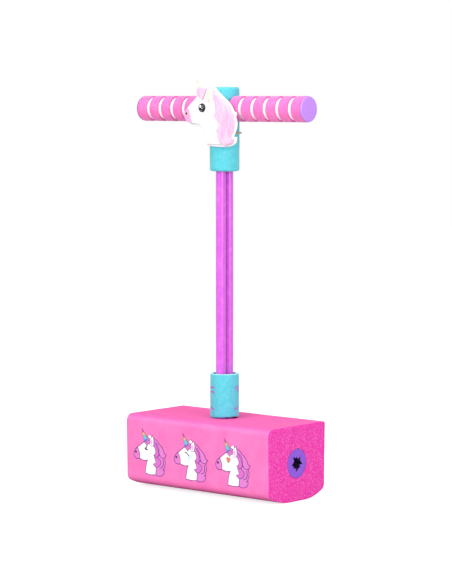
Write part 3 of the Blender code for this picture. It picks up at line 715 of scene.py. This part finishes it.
collar_low, collar_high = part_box("lower_collar")
collar_radius = collar_high.x
collar_height = collar_high.z - collar_low.z
teal_foam = sawn_foam("sawn_teal_foam", "#4FC2CF", "#60CAD4", "#44B6C6", cell=1.2, sheen=0.45)
# Painted highlight: a paler teal for the collar's top rim, where light falls from above.
teal_top_painted_light = sawn_foam("sawn_teal_top_painted_light", "#A6EEF0", "#B6F4F4", "#92E2E6", cell=1.0, sheen=0.3)
shape = tube_wall(collar_radius, COLLAR_BORE, collar_low.z, collar_high.z, COLLAR_ROUNDING, 0.0008, 16)
for vert in shape.verts:
    low_share = 1 - (vert.co.z - collar_low.z) / collar_height
    toward = math.atan2(vert.co.y, vert.co.x)
    vert.co.z += COLLAR_SLANT * low_share ** 3 * (0.5 + 0.5 * math.cos(toward + 0.25)) ** 2
soften(shape, 0.00018, 0.014)
# Faces that look up get the painted highlight.
for face in shape.faces:
    face.material_index = int(face.normal.z > 0.7)
lower_collar = made_piece("collar_foam_lower", shape, [teal_foam, teal_top_painted_light], sharp=60)
hang(lower_collar, "collar", "teal_foam", "lower_collar")

dashes = bmesh.new()
for degrees, height, length, width, slope in DASHES:
    shape = bmesh.new()
    bmesh.ops.create_cube(shape, size=1)
    bmesh.ops.scale(shape, vec=(length, DASH_FILM, width), verts=shape.verts)
    long_edges = [
        edge for edge in shape.edges
        if abs(edge.verts[0].co.x - edge.verts[1].co.x) > length / 2
    ]
    bmesh.ops.subdivide_edges(shape, edges=long_edges, cuts=7, use_grid_fill=True)
    tilt = Matrix.Rotation(math.radians(-slope), 3, "Y")
    bmesh.ops.rotate(shape, cent=(0, 0, 0), matrix=tilt, verts=shape.verts)
    for vert in shape.verts:
        lean = math.radians(degrees) + vert.co.x / collar_radius
        reach = collar_radius + DASH_LIFT - vert.co.y
        z = collar_low.z + height + vert.co.z
        vert.co = (reach * math.cos(lean), reach * math.sin(lean), z)
    add_to(dashes, shape)
collar_dashes = made_piece("collar_dashes", dashes, [printing_ink("ink_violet", "#A65AC8", "#B478D0")])
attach(collar_dashes, "collar")


# Rubber cord
# One loop of violet latex tube. It passes under the anchor pin, runs up as two strands through the block
# and both collars, and goes over the handle core. It is drawn thin where it turns.

CORD_RADIUS = 0.0073
CORD_BEND_RADIUS = 0.0046
STRAND_OFFSET = 0.0080
STRAND_BOW = 0.0009
BAR_RADIUS = 0.0075
BAR_PLAY = 0.0003
EASE_LENGTH = 0.045
HANDLE_HEIGHT = 0.570
CORD_SIDES = 28
BEND_STEPS = 18
# Heights where the cord passes from one mesh to the next.
JOIN_LOW = 0.140
JOIN_HIGH = 0.205
turn_radius = BAR_RADIUS + BAR_PLAY + CORD_BEND_RADIUS


def eased(value):
    """A share between 0 and 1 that leaves both ends gently."""
    value = min(max(value, 0.0), 1.0)
    return value * value * (3 - 2 * value)


def strand_at(z):
    """How far a strand stands from the stick's middle at a height, and its radius there."""
    out = eased(min(z - bore_height, HANDLE_HEIGHT - z) / EASE_LENGTH)
    bow = STRAND_BOW * math.sin(math.pi * (z - bore_height) / (HANDLE_HEIGHT - bore_height))
    offset = turn_radius + (STRAND_OFFSET - turn_radius) * out + bow
    return offset, CORD_BEND_RADIUS + (CORD_RADIUS - CORD_BEND_RADIUS) * out


def strand(side, start, end, steps):
    """Places and radii along one strand between two heights. Side is -1 in front, 1 behind."""
    points = []
    for i in range(steps + 1):
        z = start + (end - start) * i / steps
        offset, radius = strand_at(z)
        points.append((Vector((0, side * offset, z)), radius))
    return points


def bend(height, start, end):
    """Places and radii along the half turn round a bar, its angles in degrees."""
    points = []
    for i in range(1, BEND_STEPS):
        lean = math.radians(start + (end - start) * i / BEND_STEPS)
        y, z = turn_radius * math.cos(lean), height + turn_radius * math.sin(lean)
        points.append((Vector((0, y, z)), CORD_BEND_RADIUS))
    return points


def tube_along(shape, route, square_to, sides):
    """A round tube along a flat route of (place, radius), its rings bridged and its ends closed. The
    route's plane is given by the direction square to it."""
    rings = []
    last = len(route) - 1
    for i, (place, radius) in enumerate(route):
        along = (route[min(i + 1, last)][0] - route[max(i - 1, 0)][0]).normalized()
        across = Vector(square_to)
        facing = Matrix((across, along.cross(across), along)).transposed().to_4x4()
        ring = bmesh.ops.create_circle(
            shape, segments=sides, radius=radius, cap_ends=i in (0, last),
            matrix=Matrix.Translation(place) @ facing,
        )["verts"]
        points = set(ring)
        edges = list(dict.fromkeys(
            edge for vert in ring for edge in vert.link_edges if set(edge.verts) <= points
        ))
        if rings:
            bmesh.ops.bridge_loops(shape, edges=rings[-1] + edges)
        rings.append(edges)


def latex_rubber():
    """Dipped latex tube: translucent and slick, with faint draw lines along it and a dusting of talc."""
    material, tree, shader, place = new_finish(
        "dipped_latex", IOR=1.52, Coat_Weight=0.25, Coat_Roughness=0.25, Sheen_Weight=0.6,
    )
    stretched = add(tree, "Mapping", {"Vector": place, "Scale": (1, 1, 0.04)})
    draw = add(tree, "TexNoise", pattern(stretched, 1.8, Detail=3.0))
    dust = add(tree, "TexNoise", pattern(place, 9, Detail=4.0))
    talc = add(tree, "MapRange", {"Value": dust, "From Min": 0.45, "From Max": 0.75, "To Max": 0.2})
    lines = add(tree, "Mix", {0: draw, 6: "#DC58E0", 7: "#C040CC"})
    powdered = add(tree, "Mix", {0: talc, 6: lines, 7: "#F0A0F0"})
    gloss = add(tree, "MapRange", {"Value": dust, "To Min": 0.22, "To Max": 0.42})
    ridges = add(tree, "Bump", {"Height": draw, "Strength": 0.25, "Distance": 0.00015})
    join(shader, Base_Color=powdered, Roughness=gloss, Normal=ridges)
    return material


latex = latex_rubber()

shape = bmesh.new()
under_pin = bend(bore_height, -180, 0)
down = strand(-1, JOIN_LOW, bore_height, 22)
tube_along(shape, down + under_pin + strand(1, bore_height, JOIN_LOW, 22), ALONG_X, CORD_SIDES)
cord_bottom = made_piece("cord_in_block", shape, [latex])
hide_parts("cord_loop")
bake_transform(cord_bottom)

shape = bmesh.new()
for side in (-1, 1):
    tube_along(shape, strand(side, JOIN_LOW, JOIN_HIGH, 20), ALONG_X, CORD_SIDES)
cord_middle = made_piece("cord_at_collar", shape, [latex])
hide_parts("cord_loop")
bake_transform(cord_middle)

shape = bmesh.new()
over_bar = bend(HANDLE_HEIGHT, 180, 0)
up_front = strand(-1, JOIN_HIGH, HANDLE_HEIGHT, 90)
down = strand(1, HANDLE_HEIGHT, JOIN_HIGH, 90)
tube_along(shape, up_front + over_bar + down, ALONG_X, CORD_SIDES)
cord_top = made_piece("cord_strands", shape, [latex])
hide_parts("cord_loop")
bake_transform(cord_top)


# Upper collar
# A longer length of the same teal tube. The handle core passes through it from side to side, and the
# cord loop comes up inside it.

UPPER_COLLAR_BORE = 0.0178
UPPER_ROUNDING = 0.0038
CROSS_BORE_LENGTH = 0.06
head_low, head_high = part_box("upper_collar")
shape = tube_wall(head_high.x, UPPER_COLLAR_BORE, head_low.z, head_high.z, UPPER_ROUNDING, 0.0010, 30)
soften(shape, 0.00022, 0.016)
upper_collar = made_piece("collar_foam_upper", shape, [teal_foam], sharp=60)
cross_bore_radius = BAR_RADIUS + BAR_PLAY
along_bar = Matrix.Translation((0, 0, HANDLE_HEIGHT)) @ Matrix.Rotation(math.pi / 2, 4, "Y")
bore(upper_collar, cross_bore_radius, CROSS_BORE_LENGTH, along_bar, 48)
hang(upper_collar, "stick_head", "teal_foam", "upper_collar")


# Handle grips
# Each grip is a white foam sleeve glued in a pink foam tube. Five grooves are ground through the pink, so
# that six pink rings stand on the white. The sleeve is pushed on the handle core.

GRIP_RADIUS = 0.0190
GROOVE_DEPTH = 0.0027
RINGS = 6
RING_ROUNDING = 0.0007
RING_SAWN = 0.0006
sleeve_radius = GRIP_RADIUS - GROOVE_DEPTH
grip_pink = sawn_foam("ground_pink_foam", "#F06CB8", "#F47CC2", "#E65CAC", cell=1.1, sheen=0.4)
grip_white = sawn_foam("ground_white_foam", "#FFFCFA", "#FFFFFF", "#F4ECEC", cell=1.2, sheen=0.2)
for side in ("right", "left"):
    low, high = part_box(f"grip_sleeve_{side}")
    shape = tube_wall(sleeve_radius - 0.0001, cross_bore_radius, low.x, high.x, 0.0003, 0.0003, 48, 64)
    move(shape, along_bar)
    soften(shape, 0.00012, 0.005)
    sleeve = made_piece(f"grip_white_{side}", shape, [grip_white], sharp=60)
    hang(sleeve, "handle_bar", "white_foam", f"grip_sleeve_{side}")
    for number in range(1, RINGS + 1):
        node = f"grip_ring_{side}_{number}"
        low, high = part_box(node)
        start, end = low.x + RING_SAWN, high.x - RING_SAWN
        shape = tube_wall(GRIP_RADIUS, sleeve_radius, start, end, RING_ROUNDING, 0.0001, 7, 72)
        move(shape, along_bar)
        soften(shape, 0.00014, 0.007)
        ring = made_piece(f"grip_pink_{side}_{number}", shape, [grip_pink], sharp=60)
        hang(ring, "handle_bar", "grip_foam", node)


# End caps
# Lilac polyethylene caps. A stem is pushed into each end of the handle core, and a disc with a rounded
# edge and a slight dome covers the grip's end.

CAP_HEIGHT = 0.0030
CAP_SHOULDER = 0.0024
CAP_EDGE = 0.0022
CAP_FLAT = 0.006
STEM_RADIUS = 0.0052
STEM_LENGTH = 0.020
disc = GRIP_RADIUS - 0.0003
cap_plastic = moulded_plastic("moulded_lilac_pe", "#C088E8", "#B780E2", 0.42, grain=1.0)
for side, direction in (("right", 1), ("left", -1)):
    low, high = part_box(f"end_cap_{side}")
    inner_face = direction * (abs(high.x if direction > 0 else low.x) - CAP_HEIGHT)
    shape = bmesh.new()
    point = shape.verts.new((0, 0, CAP_HEIGHT))
    point = run(shape, point, (CAP_FLAT, 0, CAP_HEIGHT), 3)
    point = run(shape, point, (disc - CAP_EDGE, 0, CAP_SHOULDER), 4)
    point = turn(shape, point, (disc - CAP_EDGE - 0.0001, 0, 0.0002), 84, ALONG_Y, 8)
    point = run(shape, point, (disc, 0, 0))
    point = run(shape, point, (STEM_RADIUS, 0, 0))
    point = run(shape, point, (STEM_RADIUS, 0, -STEM_LENGTH), 2)
    run(shape, point, (0, 0, -STEM_LENGTH))
    revolve(shape, 72)
    place = Matrix.Translation((inner_face, 0, HANDLE_HEIGHT))
    outward = Matrix.Rotation(direction * math.pi / 2, 4, "Y")
    move(shape, place @ outward)
    cap = made_piece(f"cap_{side}", shape, [cap_plastic])
    hang(cap, "handle_bar", "cap_plastic", f"end_cap_{side}")


# Unicorn ornament
# A flat stuffed head on a stiff white board: layers of brushed felt over thin foam, glued one on another.
# The board stands a few millimetres proud all round, and an elastic band ties it to the upper collar.

ORNAMENT_BACK = -0.0226
BOARD_THICKNESS = 0.0040
PAD_THICKNESS = 0.0050
TRIM_THICKNESS = 0.0020
LAYER_GAP = 0.0003
PAD_VOXEL = 0.0008
TRIM_VOXEL = 0.0004
pad_back = ORNAMENT_BACK - BOARD_THICKNESS - LAYER_GAP
trim_back = pad_back - PAD_THICKNESS - LAYER_GAP

# Outlines in millimetres: across, and up from the floor.
HEAD_OUTLINE = [
    (-26.8, 589), (-37, 580), (-47, 571.5), (-51.5, 564), (-50.5, 556), (-44, 549.2), (-33, 548),
    (-20, 545.5), (-12.5, 533), (-9, 517.5, "corner"), (26, 517.5, "corner"), (19, 530), (19.5, 545),
    (15, 556), (14, 570), (11.5, 582), (5, 593.5), (-3, 596.2), (-12, 596.8),
]
MANE_OUTLINE = [
    (1, 597.5, "corner"), (8, 593.2), (15.8, 587.8), (21.8, 583.5), (27.8, 578.8), (33.6, 572.8),
    (37.5, 566), (40.8, 562.2, "corner"), (42.2, 557), (43, 550), (42.5, 542.5), (39.8, 534.5),
    (36.2, 528.2, "corner"), (43, 526.2, "corner"), (40.2, 521.2), (35.2, 518.2), (29, 516.5),
    (22.5, 517, "corner"), (16, 521.5), (12.6, 529), (12.2, 534.5), (7.2, 536.6, "corner"), (11.8, 540.5),
    (14.2, 546), (10.8, 553), (7.4, 557.2), (3.4, 558.6, "corner"), (6.8, 562.2), (8.4, 570), (6.9, 579),
    (3.2, 589),
]
BOARD_OUTLINE = [
    (-28.5, 590), (-40, 581.2), (-50.5, 571.8), (-54.2, 562), (-52, 553.5), (-45, 547.2), (-33, 545.5),
    (-23, 542.5), (-16, 531), (-12, 515, "corner"), (29, 514.8), (37, 517), (43.2, 521.8),
    (44.4, 529.5, "corner"), (37.4, 528.8, "corner"), (42, 536.9), (44.8, 545), (44.6, 552), (42.8, 558),
    (44.6, 564, "corner"), (38.8, 566.8, "corner"), (34.6, 574.2), (28.6, 580.4), (22.2, 585),
    (16.5, 589.6), (10, 594.5), (4.6, 600), (0, 606.2), (-6, 605.5), (-15, 603.8), (-26, 603), (-30, 597),
]
MUZZLE_OUTLINE = [
    (-43, 572, "corner"), (-49, 565), (-49.8, 558), (-45.5, 551.5), (-36.2, 549.4, "corner"),
    (-38.2, 559), (-40.6, 566.5),
]
FORELOCK_OUTLINE = [
    (-25.8, 600, "corner"), (-16.5, 601.6), (-6.6, 599.8, "corner"), (-9.8, 591.7), (-15, 583, "corner"),
    (-20.3, 586.4), (-24.8, 591.7),
]
EAR_OUTLINE = [
    (0.5, 607.8, "corner"), (-4.2, 600.6), (-7.8, 586.4), (-6.2, 580.6), (-0.3, 579.7), (4.2, 583.5),
    (4.9, 595.4), (3, 602.9),
]
INNER_EAR_OUTLINE = [
    (-1.4, 600, "corner"), (-4.3, 593), (-5.7, 587), (-4.3, 582.6), (0, 581.4), (1.4, 589), (0.6, 596.5),
]
# Lines that the mane's locks part along.
MANE_PARTINGS = [
    [(8, 590), (15, 580), (20, 570), (21.5, 560), (18, 550)],
    [(25, 578), (31, 566), (33, 554), (30, 542), (26, 532)],
    [(15, 556), (21.5, 546), (22, 534), (27, 522)],
    [(38.5, 556), (37.5, 544), (34, 534), (31, 524)],
]


def line_distance(points, starts, ends):
    """The distance in X and Z from each point to the nearest of some straight lines."""
    along = ends - starts
    from_start = points[:, None, :] - starts[None, :, :]
    share = (from_start * along).sum(2) / np.maximum((along * along).sum(1), 1e-14)
    gap = from_start - np.clip(share, 0, 1)[:, :, None] * along
    return np.sqrt((gap * gap).sum(2)).min(1)


def stuffed_pad(name, outline, back, thickness, edge, crown, material, creases, voxel):
    """A felt-covered pad: a plate is remeshed finely, then its front is rounded down to its edge,
    crowned in the middle and pressed in along its creases."""
    in_metres = [(x * MILLIMETRE, z * MILLIMETRE, *corner) for x, z, *corner in outline]
    flat = plate(in_metres, thickness)
    front = [
        line for line in flat.edges
        if all(vert.co.y < 0 for vert in line.verts)
        and any(abs(face.normal.y) < 0.5 for face in line.link_faces)
    ]
    starts = np.array([(line.verts[0].co.x, line.verts[0].co.z) for line in front])
    ends = np.array([(line.verts[1].co.x, line.verts[1].co.z) for line in front])
    blank = made_piece("blank", flat, [])
    remesh = blank.modifiers.new("fine", "REMESH")
    remesh.mode = "VOXEL"
    remesh.voxel_size = voxel
    mesh = evaluated_mesh(blank)
    bpy.data.objects.remove(blank)
    shape = bmesh.new()
    shape.from_mesh(mesh)
    bpy.data.meshes.remove(mesh)
    bmesh.ops.smooth_vert(
        shape, verts=shape.verts, factor=0.5, use_axis_x=True, use_axis_y=False, use_axis_z=True
    )
    points = np.array([(vert.co.x, vert.co.z) for vert in shape.verts])
    inward = line_distance(points, starts, ends)
    depth = np.zeros(len(points))
    for crease, width, deep in creases:
        crease = np.array(crease) * MILLIMETRE
        near = line_distance(points, crease[:-1], crease[1:])
        depth += deep * np.exp(-((near / width) ** 2))
    for vert, inset, pressed in zip(shape.verts, inward, depth):
        rise = 1 - (1 - min(inset / edge, 1)) ** 2
        height = thickness * (0.3 + 0.7 * math.sqrt(rise)) + crown * min(inset / (3 * edge), 1)
        height -= pressed * min(inset / edge, 1)
        share = 0.5 - vert.co.y / thickness
        vert.co.y = back - share * height
    return made_piece(name, shape, [material], sharp=80)


def brushed_felt(name, colour, shade):
    """Brushed felt: short fibres that lie every way, so it is matt with a pale bloom at its edges."""
    material, tree, shader, place = new_finish(
        name, IOR=1.45, Roughness=0.92, Sheen_Weight=0.4, Sheen_Roughness=0.5,
    )
    nap = add(tree, "TexNoise", pattern(place, 1.6, Detail=5.0, Distortion=0.6))
    patch = add(tree, "TexNoise", pattern(place, 9, Detail=2.0))
    both = add(tree, "Math", {0: nap, 1: patch}, operation="MULTIPLY")
    dark = add(tree, "MapRange", {"Value": both, "From Min": 0.18, "From Max": 0.36})
    tone = add(tree, "Mix", {0: dark, 6: shade, 7: colour})
    fibres = add(tree, "Bump", {"Height": nap, "Strength": 0.5, "Distance": 0.0003})
    join(shader, Base_Color=tone, Normal=fibres)
    return material


def streaked_mane():
    """Pale pink felt dyed in soft streaks that run down the locks."""
    material, tree, shader, place = new_finish(
        "streaked_mane_felt", IOR=1.45, Roughness=0.9, Sheen_Weight=0.3, Sheen_Roughness=0.5,
    )
    slanted = add(tree, "Mapping", {
        "Vector": place, "Rotation": (0, math.radians(-24), 0), "Scale": (1, 1, 0.22),
    })
    strands = add(tree, "TexNoise", pattern(slanted, 5, Detail=2.0, Distortion=0.8))
    nap = add(tree, "TexNoise", pattern(place, 1.4, Detail=4.0))
    streak = add(tree, "MapRange", {"Value": strands, "From Min": 0.4, "From Max": 0.62})
    tone = add(tree, "Mix", {0: streak, 6: "#ECC8DF", 7: "#E6B0D4"})
    fibres = add(tree, "Bump", {"Height": nap, "Strength": 0.45, "Distance": 0.0003})
    join(shader, Base_Color=tone, Normal=fibres)
    return material


white_felt = brushed_felt("brushed_white_felt", "#FBFAFB", "#F1EEF1")
pink_felt = brushed_felt("brushed_pink_felt", "#F2AED2", "#EC9CC8")
cream_felt = brushed_felt("brushed_cream_felt", "#F5E2D2", "#ECD2C0")
mane_felt = streaked_mane()
partings = [(line, 0.0010, 0.0007) for line in MANE_PARTINGS]
ear_back = trim_back - TRIM_THICKNESS - LAYER_GAP
LAYERS = [
    ("board", BOARD_OUTLINE, ORNAMENT_BACK, BOARD_THICKNESS, 0.0020, 0.0, white_felt, "white_felt", ()),
    ("head", HEAD_OUTLINE, pad_back, PAD_THICKNESS, 0.0030, 0.0, white_felt, "white_felt", ()),
    ("mane", MANE_OUTLINE, pad_back, PAD_THICKNESS + 0.0004, 0.0014, 0.0006, mane_felt, "pink_felt",
     partings),
    ("muzzle", MUZZLE_OUTLINE, trim_back, TRIM_THICKNESS, 0.0016, 0.0002, pink_felt, "pink_felt", ()),
    ("forelock", FORELOCK_OUTLINE, trim_back, TRIM_THICKNESS, 0.0016, 0.0002, mane_felt, "pink_felt", ()),
    ("ear", EAR_OUTLINE, trim_back, TRIM_THICKNESS, 0.0014, 0.0, white_felt, "white_felt", ()),
    ("inner_ear", INNER_EAR_OUTLINE, ear_back, 0.0010, 0.0008, 0.0, cream_felt, "cream_felt", ()),
]
for name, outline, back, thickness, edge, crown, felt, slot, creases in LAYERS:
    voxel = PAD_VOXEL if thickness > TRIM_THICKNESS else TRIM_VOXEL
    pad = stuffed_pad(f"felt_{name}", outline, back, thickness, edge, crown, felt, creases, voxel)
    hang(pad, "ornament", slot, f"ornament_{name}")


# Eye and nostril
# Glossy black plastic domes glued to the felt. The white and blue-grey spots on the eye are painted
# highlights: lacquer discs that stand for reflections.


def domed_button(place, radius, height, back, steps=48):
    """A low dome facing -Y: a quarter of an ellipse, drawn as an arc and flattened, is spun round."""
    shape = bmesh.new()
    turn(shape, shape.verts.new((0, 0, radius)), (0, 0, 0), 90, ALONG_Y, 10)
    for vert in shape.verts:
        vert.co.z *= height / radius
    rim = max(shape.verts, key=lambda vert: vert.co.x)
    run(shape, rim, (0, 0, 0), 2)
    revolve(shape, steps)
    facing = Matrix.Translation((place[0], back, place[1])) @ Matrix.Rotation(math.pi / 2, 4, "X")
    move(shape, facing)
    return shape


def lacquer(name, colour, shade):
    """Lacquered plastic: a clear coat over an even colour, so it shows sharp reflections."""
    material, tree, shader, place = new_finish(name, IOR=1.4, Coat_Weight=0.3, Coat_Roughness=0.12)
    ripple = add(tree, "TexNoise", pattern(place, 2.5, Detail=1.0))
    tone = add(tree, "Mix", {0: ripple, 6: colour, 7: shade})
    gloss = add(tree, "MapRange", {"Value": ripple, "To Min": 0.10, "To Max": 0.22})
    orange = add(tree, "Bump", {"Height": ripple, "Strength": 0.1, "Distance": 0.00005})
    join(shader, Base_Color=tone, Roughness=gloss, Normal=orange)
    return material


black_lacquer = lacquer("black_lacquer", "#101016", "#1A1A24")
# Finishes for the painted highlights on the eye.
white_painted_highlight = lacquer("white_painted_highlight", "#FFFFFF", "#F4F6FA")
grey_painted_glint = lacquer("blue_grey_painted_glint", "#7C8CA4", "#66758E")
eye_low, eye_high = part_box("ornament_eye")
eye_place = ((eye_low.x + eye_high.x) / 2, (eye_low.z + eye_high.z) / 2)
eye_radius = (eye_high.x - eye_low.x) / 2
eye_height = eye_high.y - eye_low.y
eye = made_piece(
    "eye_button", domed_button(eye_place, eye_radius, eye_height, eye_high.y), [black_lacquer]
)
hang(eye, "ornament", "eye_plastic", "ornament_eye")
# Across and up from the eye's middle, then width, height, and the finish.
GLINTS = [
    (-0.0008, 0.0020, 0.0036, 0.0042, white_painted_highlight), (0.0022, -0.0008, 0.0014, 0.0016, white_painted_highlight),
    (0.0004, -0.0042, 0.0034, 0.0012, grey_painted_glint), (0.0032, 0.0020, 0.0010, 0.0014, grey_painted_glint),
]
# Painted highlights: white and blue-grey discs laid on the eye dome where reflections show.
for number, (across, up, width, height, finish) in enumerate(GLINTS):
    share = min(math.hypot(across, up) / eye_radius, 0.98)
    surface = eye_high.y - eye_height * math.sqrt(1 - share ** 2)
    shape = bmesh.new()
    bmesh.ops.create_uvsphere(shape, u_segments=24, v_segments=12, radius=0.5)
    bmesh.ops.scale(shape, vec=(width, 0.0006, height), verts=shape.verts)
    middle = (eye_place[0] + across, surface, eye_place[1] + up)
    nod = Matrix.Rotation(-up / eye_radius * 0.5, 4, "X")
    sway = Matrix.Rotation(across / eye_radius * 0.5, 4, "Z")
    move(shape, Matrix.Translation(middle) @ nod @ sway)
    glint = made_piece(f"eye_glint_{number + 1}", shape, [finish])
    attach(glint, "ornament")

low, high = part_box("ornament_nostril")
place = ((low.x + high.x) / 2, (low.z + high.z) / 2)
nostril = made_piece(
    "nostril_button", domed_button(place, (high.x - low.x) / 2, high.y - low.y, high.y, 32),
    [black_lacquer],
)
hang(nostril, "ornament", "eye_plastic", "ornament_nostril")


# Horn
# A slim cone of cream felt wound round a stick, glued behind the forelock. The winding shows as a groove.

HORN_FOOT_RADIUS = 0.0024
HORN_TIP_RADIUS = 0.0008
HORN_TURNS = 4.0
HORN_SWELL = 0.10
horn_base = Vector((-0.0250, pad_back - 0.0026, 0.5975))
horn_tip = Vector((-0.0278, pad_back - 0.0022, 0.6135))
horn_length = (horn_tip - horn_base).length
shape = bmesh.new()
bmesh.ops.create_cone(
    shape, cap_ends=True, segments=32, radius1=HORN_FOOT_RADIUS, radius2=HORN_TIP_RADIUS,
    depth=horn_length, matrix=Matrix.Translation((0, 0, horn_length / 2)),
)
sides = [edge for edge in shape.edges if abs(edge.verts[0].co.z - edge.verts[1].co.z) > 0.001]
bmesh.ops.subdivide_edges(shape, edges=sides, cuts=40, use_grid_fill=True)
for vert in shape.verts:
    lean = math.atan2(vert.co.y, vert.co.x)
    wave = math.sin(lean + 2 * math.pi * HORN_TURNS * vert.co.z / horn_length)
    swollen = 1 + HORN_SWELL * wave
    vert.co.x *= swollen
    vert.co.y *= swollen
turned = (horn_tip - horn_base).to_track_quat("Z", "Y").to_matrix().to_4x4()
move(shape, Matrix.Translation(horn_base) @ turned)
horn = made_piece("felt_horn", shape, [cream_felt], sharp=50)
hang(horn, "ornament", "cream_felt", "ornament_horn")


# Elastic band
# A beige braided elastic. Both ends are glued to the back of the board, and it goes round behind the
# upper collar just under the handle.

BAND_HEIGHT = 0.5345
BAND_RADIUS = 0.0015
BAND_START = -62
BAND_SWEEP = 304
BAND_STEPS = 60
BAND_SIDES = 16


def braided_elastic():
    """Braided elastic: rubber cores under a cover of fine threads that cross on the slant."""
    material, tree, shader, place = new_finish(
        "braided_elastic", IOR=1.5, Roughness=0.85, Sheen_Weight=0.2,
    )
    slanted = add(tree, "Mapping", {"Vector": place, "Rotation": (0, 0, math.radians(40))})
    first = add(tree, "TexWave", pattern(slanted, 5.0, Distortion=0.6))
    crossed = add(tree, "Mapping", {"Vector": place, "Rotation": (math.radians(50), 0, 0)})
    second = add(tree, "TexWave", pattern(crossed, 5.0, Distortion=0.6))
    weave = add(tree, "Math", {0: first, 1: second}, operation="MAXIMUM")
    tone = add(tree, "Mix", {0: weave, 6: "#8E6F5A", 7: "#C2A48C"})
    threads = add(tree, "Bump", {"Height": weave, "Strength": 0.5, "Distance": 0.0002})
    join(shader, Base_Color=tone, Normal=threads)
    return material


around = head_high.x + BAND_RADIUS + LAYER_GAP
route = []
for i in range(BAND_STEPS + 1):
    lean = math.radians(BAND_START + BAND_SWEEP * i / BAND_STEPS)
    place = Vector((around * math.cos(lean), around * math.sin(lean), BAND_HEIGHT))
    route.append((place, BAND_RADIUS))
shape = bmesh.new()
tube_along(shape, route, UPRIGHT, BAND_SIDES)
band = made_piece("elastic_band", shape, [braided_elastic()])
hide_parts("ornament_band")
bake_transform(band)


# Stage, light and camera
# A light table of opal acrylic in a white tent, with one broad softbox overhead, one at each side of the
# camera, and a long lens. The tent and the table look white, but they light the object only dimly.

CAMERA_TURN = math.radians(41)
CAMERA_DISTANCE = 3.562
CAMERA_HEIGHT = 0.592
CAMERA_PITCH = math.radians(4.71)
LENS = 148.3
TENT_LIGHT = 0.58
FLOOR_GLOW = 0.75


def softbox(name, place, target, size, power):
    """A square area light that looks at a point."""
    light = bpy.data.lights.new(name, "AREA")
    light.shape = "SQUARE"
    light.size = size
    light.energy = power
    lamp = bpy.data.objects.new(name, light)
    lamp.location = place
    aim = Vector(target) - Vector(place)
    lamp.rotation_euler = aim.to_track_quat("-Z", "Y").to_euler()
    bpy.context.scene.collection.objects.link(lamp)


def opal_floor():
    """Opal acrylic, sanded matt. Its glow is seen by the camera alone, so that shadows stay pale."""
    material, tree, shader, place = new_finish(
        "lit_opal_acrylic", Roughness=0.95, Specular_IOR_Level=0.0, Emission_Color=(1, 1, 1, 1),
    )
    seen = add(tree, "LightPath")
    glow = add(tree, "MapRange", {"Value": seen, "To Max": FLOOR_GLOW})
    join(shader, Emission_Strength=glow)
    grain = add(tree, "TexNoise", pattern(place, 40))
    tone = add(tree, "Mix", {0: grain, 6: "#C8C6C8", 7: "#C4C2C4"})
    join(shader, Base_Color=tone)
    return material


shape = bmesh.new()
bmesh.ops.create_grid(
    shape, x_segments=2, y_segments=2, size=6, matrix=Matrix.Translation((0, 0, -0.0002))
)
floor = made_piece("floor", shape, [opal_floor()])

world = bpy.data.worlds.new("light_tent")
world.use_nodes = True
backdrop = world.node_tree.nodes["Background"]
backdrop.inputs["Color"].default_value = (1, 1, 1, 1)
seen = add(world.node_tree, "LightPath")
tent = add(world.node_tree, "MapRange", {"Value": seen, "To Min": TENT_LIGHT, "To Max": 1.0})
join(backdrop, Strength=tent)
bpy.context.scene.world = world
middle = (0, 0, 0.3)
softbox("overhead", (0.1, -0.4, 2.2), middle, 1.6, 19)
softbox("left_of_camera", (-0.2, -2.4, 1.3), middle, 1.4, 35)
softbox("right_of_camera", (2.6, -0.6, 0.9), middle, 1.2, 40)

camera_data = bpy.data.cameras.new("camera")
camera_data.lens = LENS
camera_data.shift_x = 0.0024
camera = bpy.data.objects.new("camera", camera_data)
camera.location = (
    CAMERA_DISTANCE * math.sin(CAMERA_TURN), -CAMERA_DISTANCE * math.cos(CAMERA_TURN), CAMERA_HEIGHT
)
camera.rotation_euler = (math.pi / 2 - CAMERA_PITCH, 0, CAMERA_TURN)
bpy.context.scene.collection.objects.link(camera)
bpy.context.scene.camera = camera
bpy.context.scene.view_settings.view_transform = "Standard"
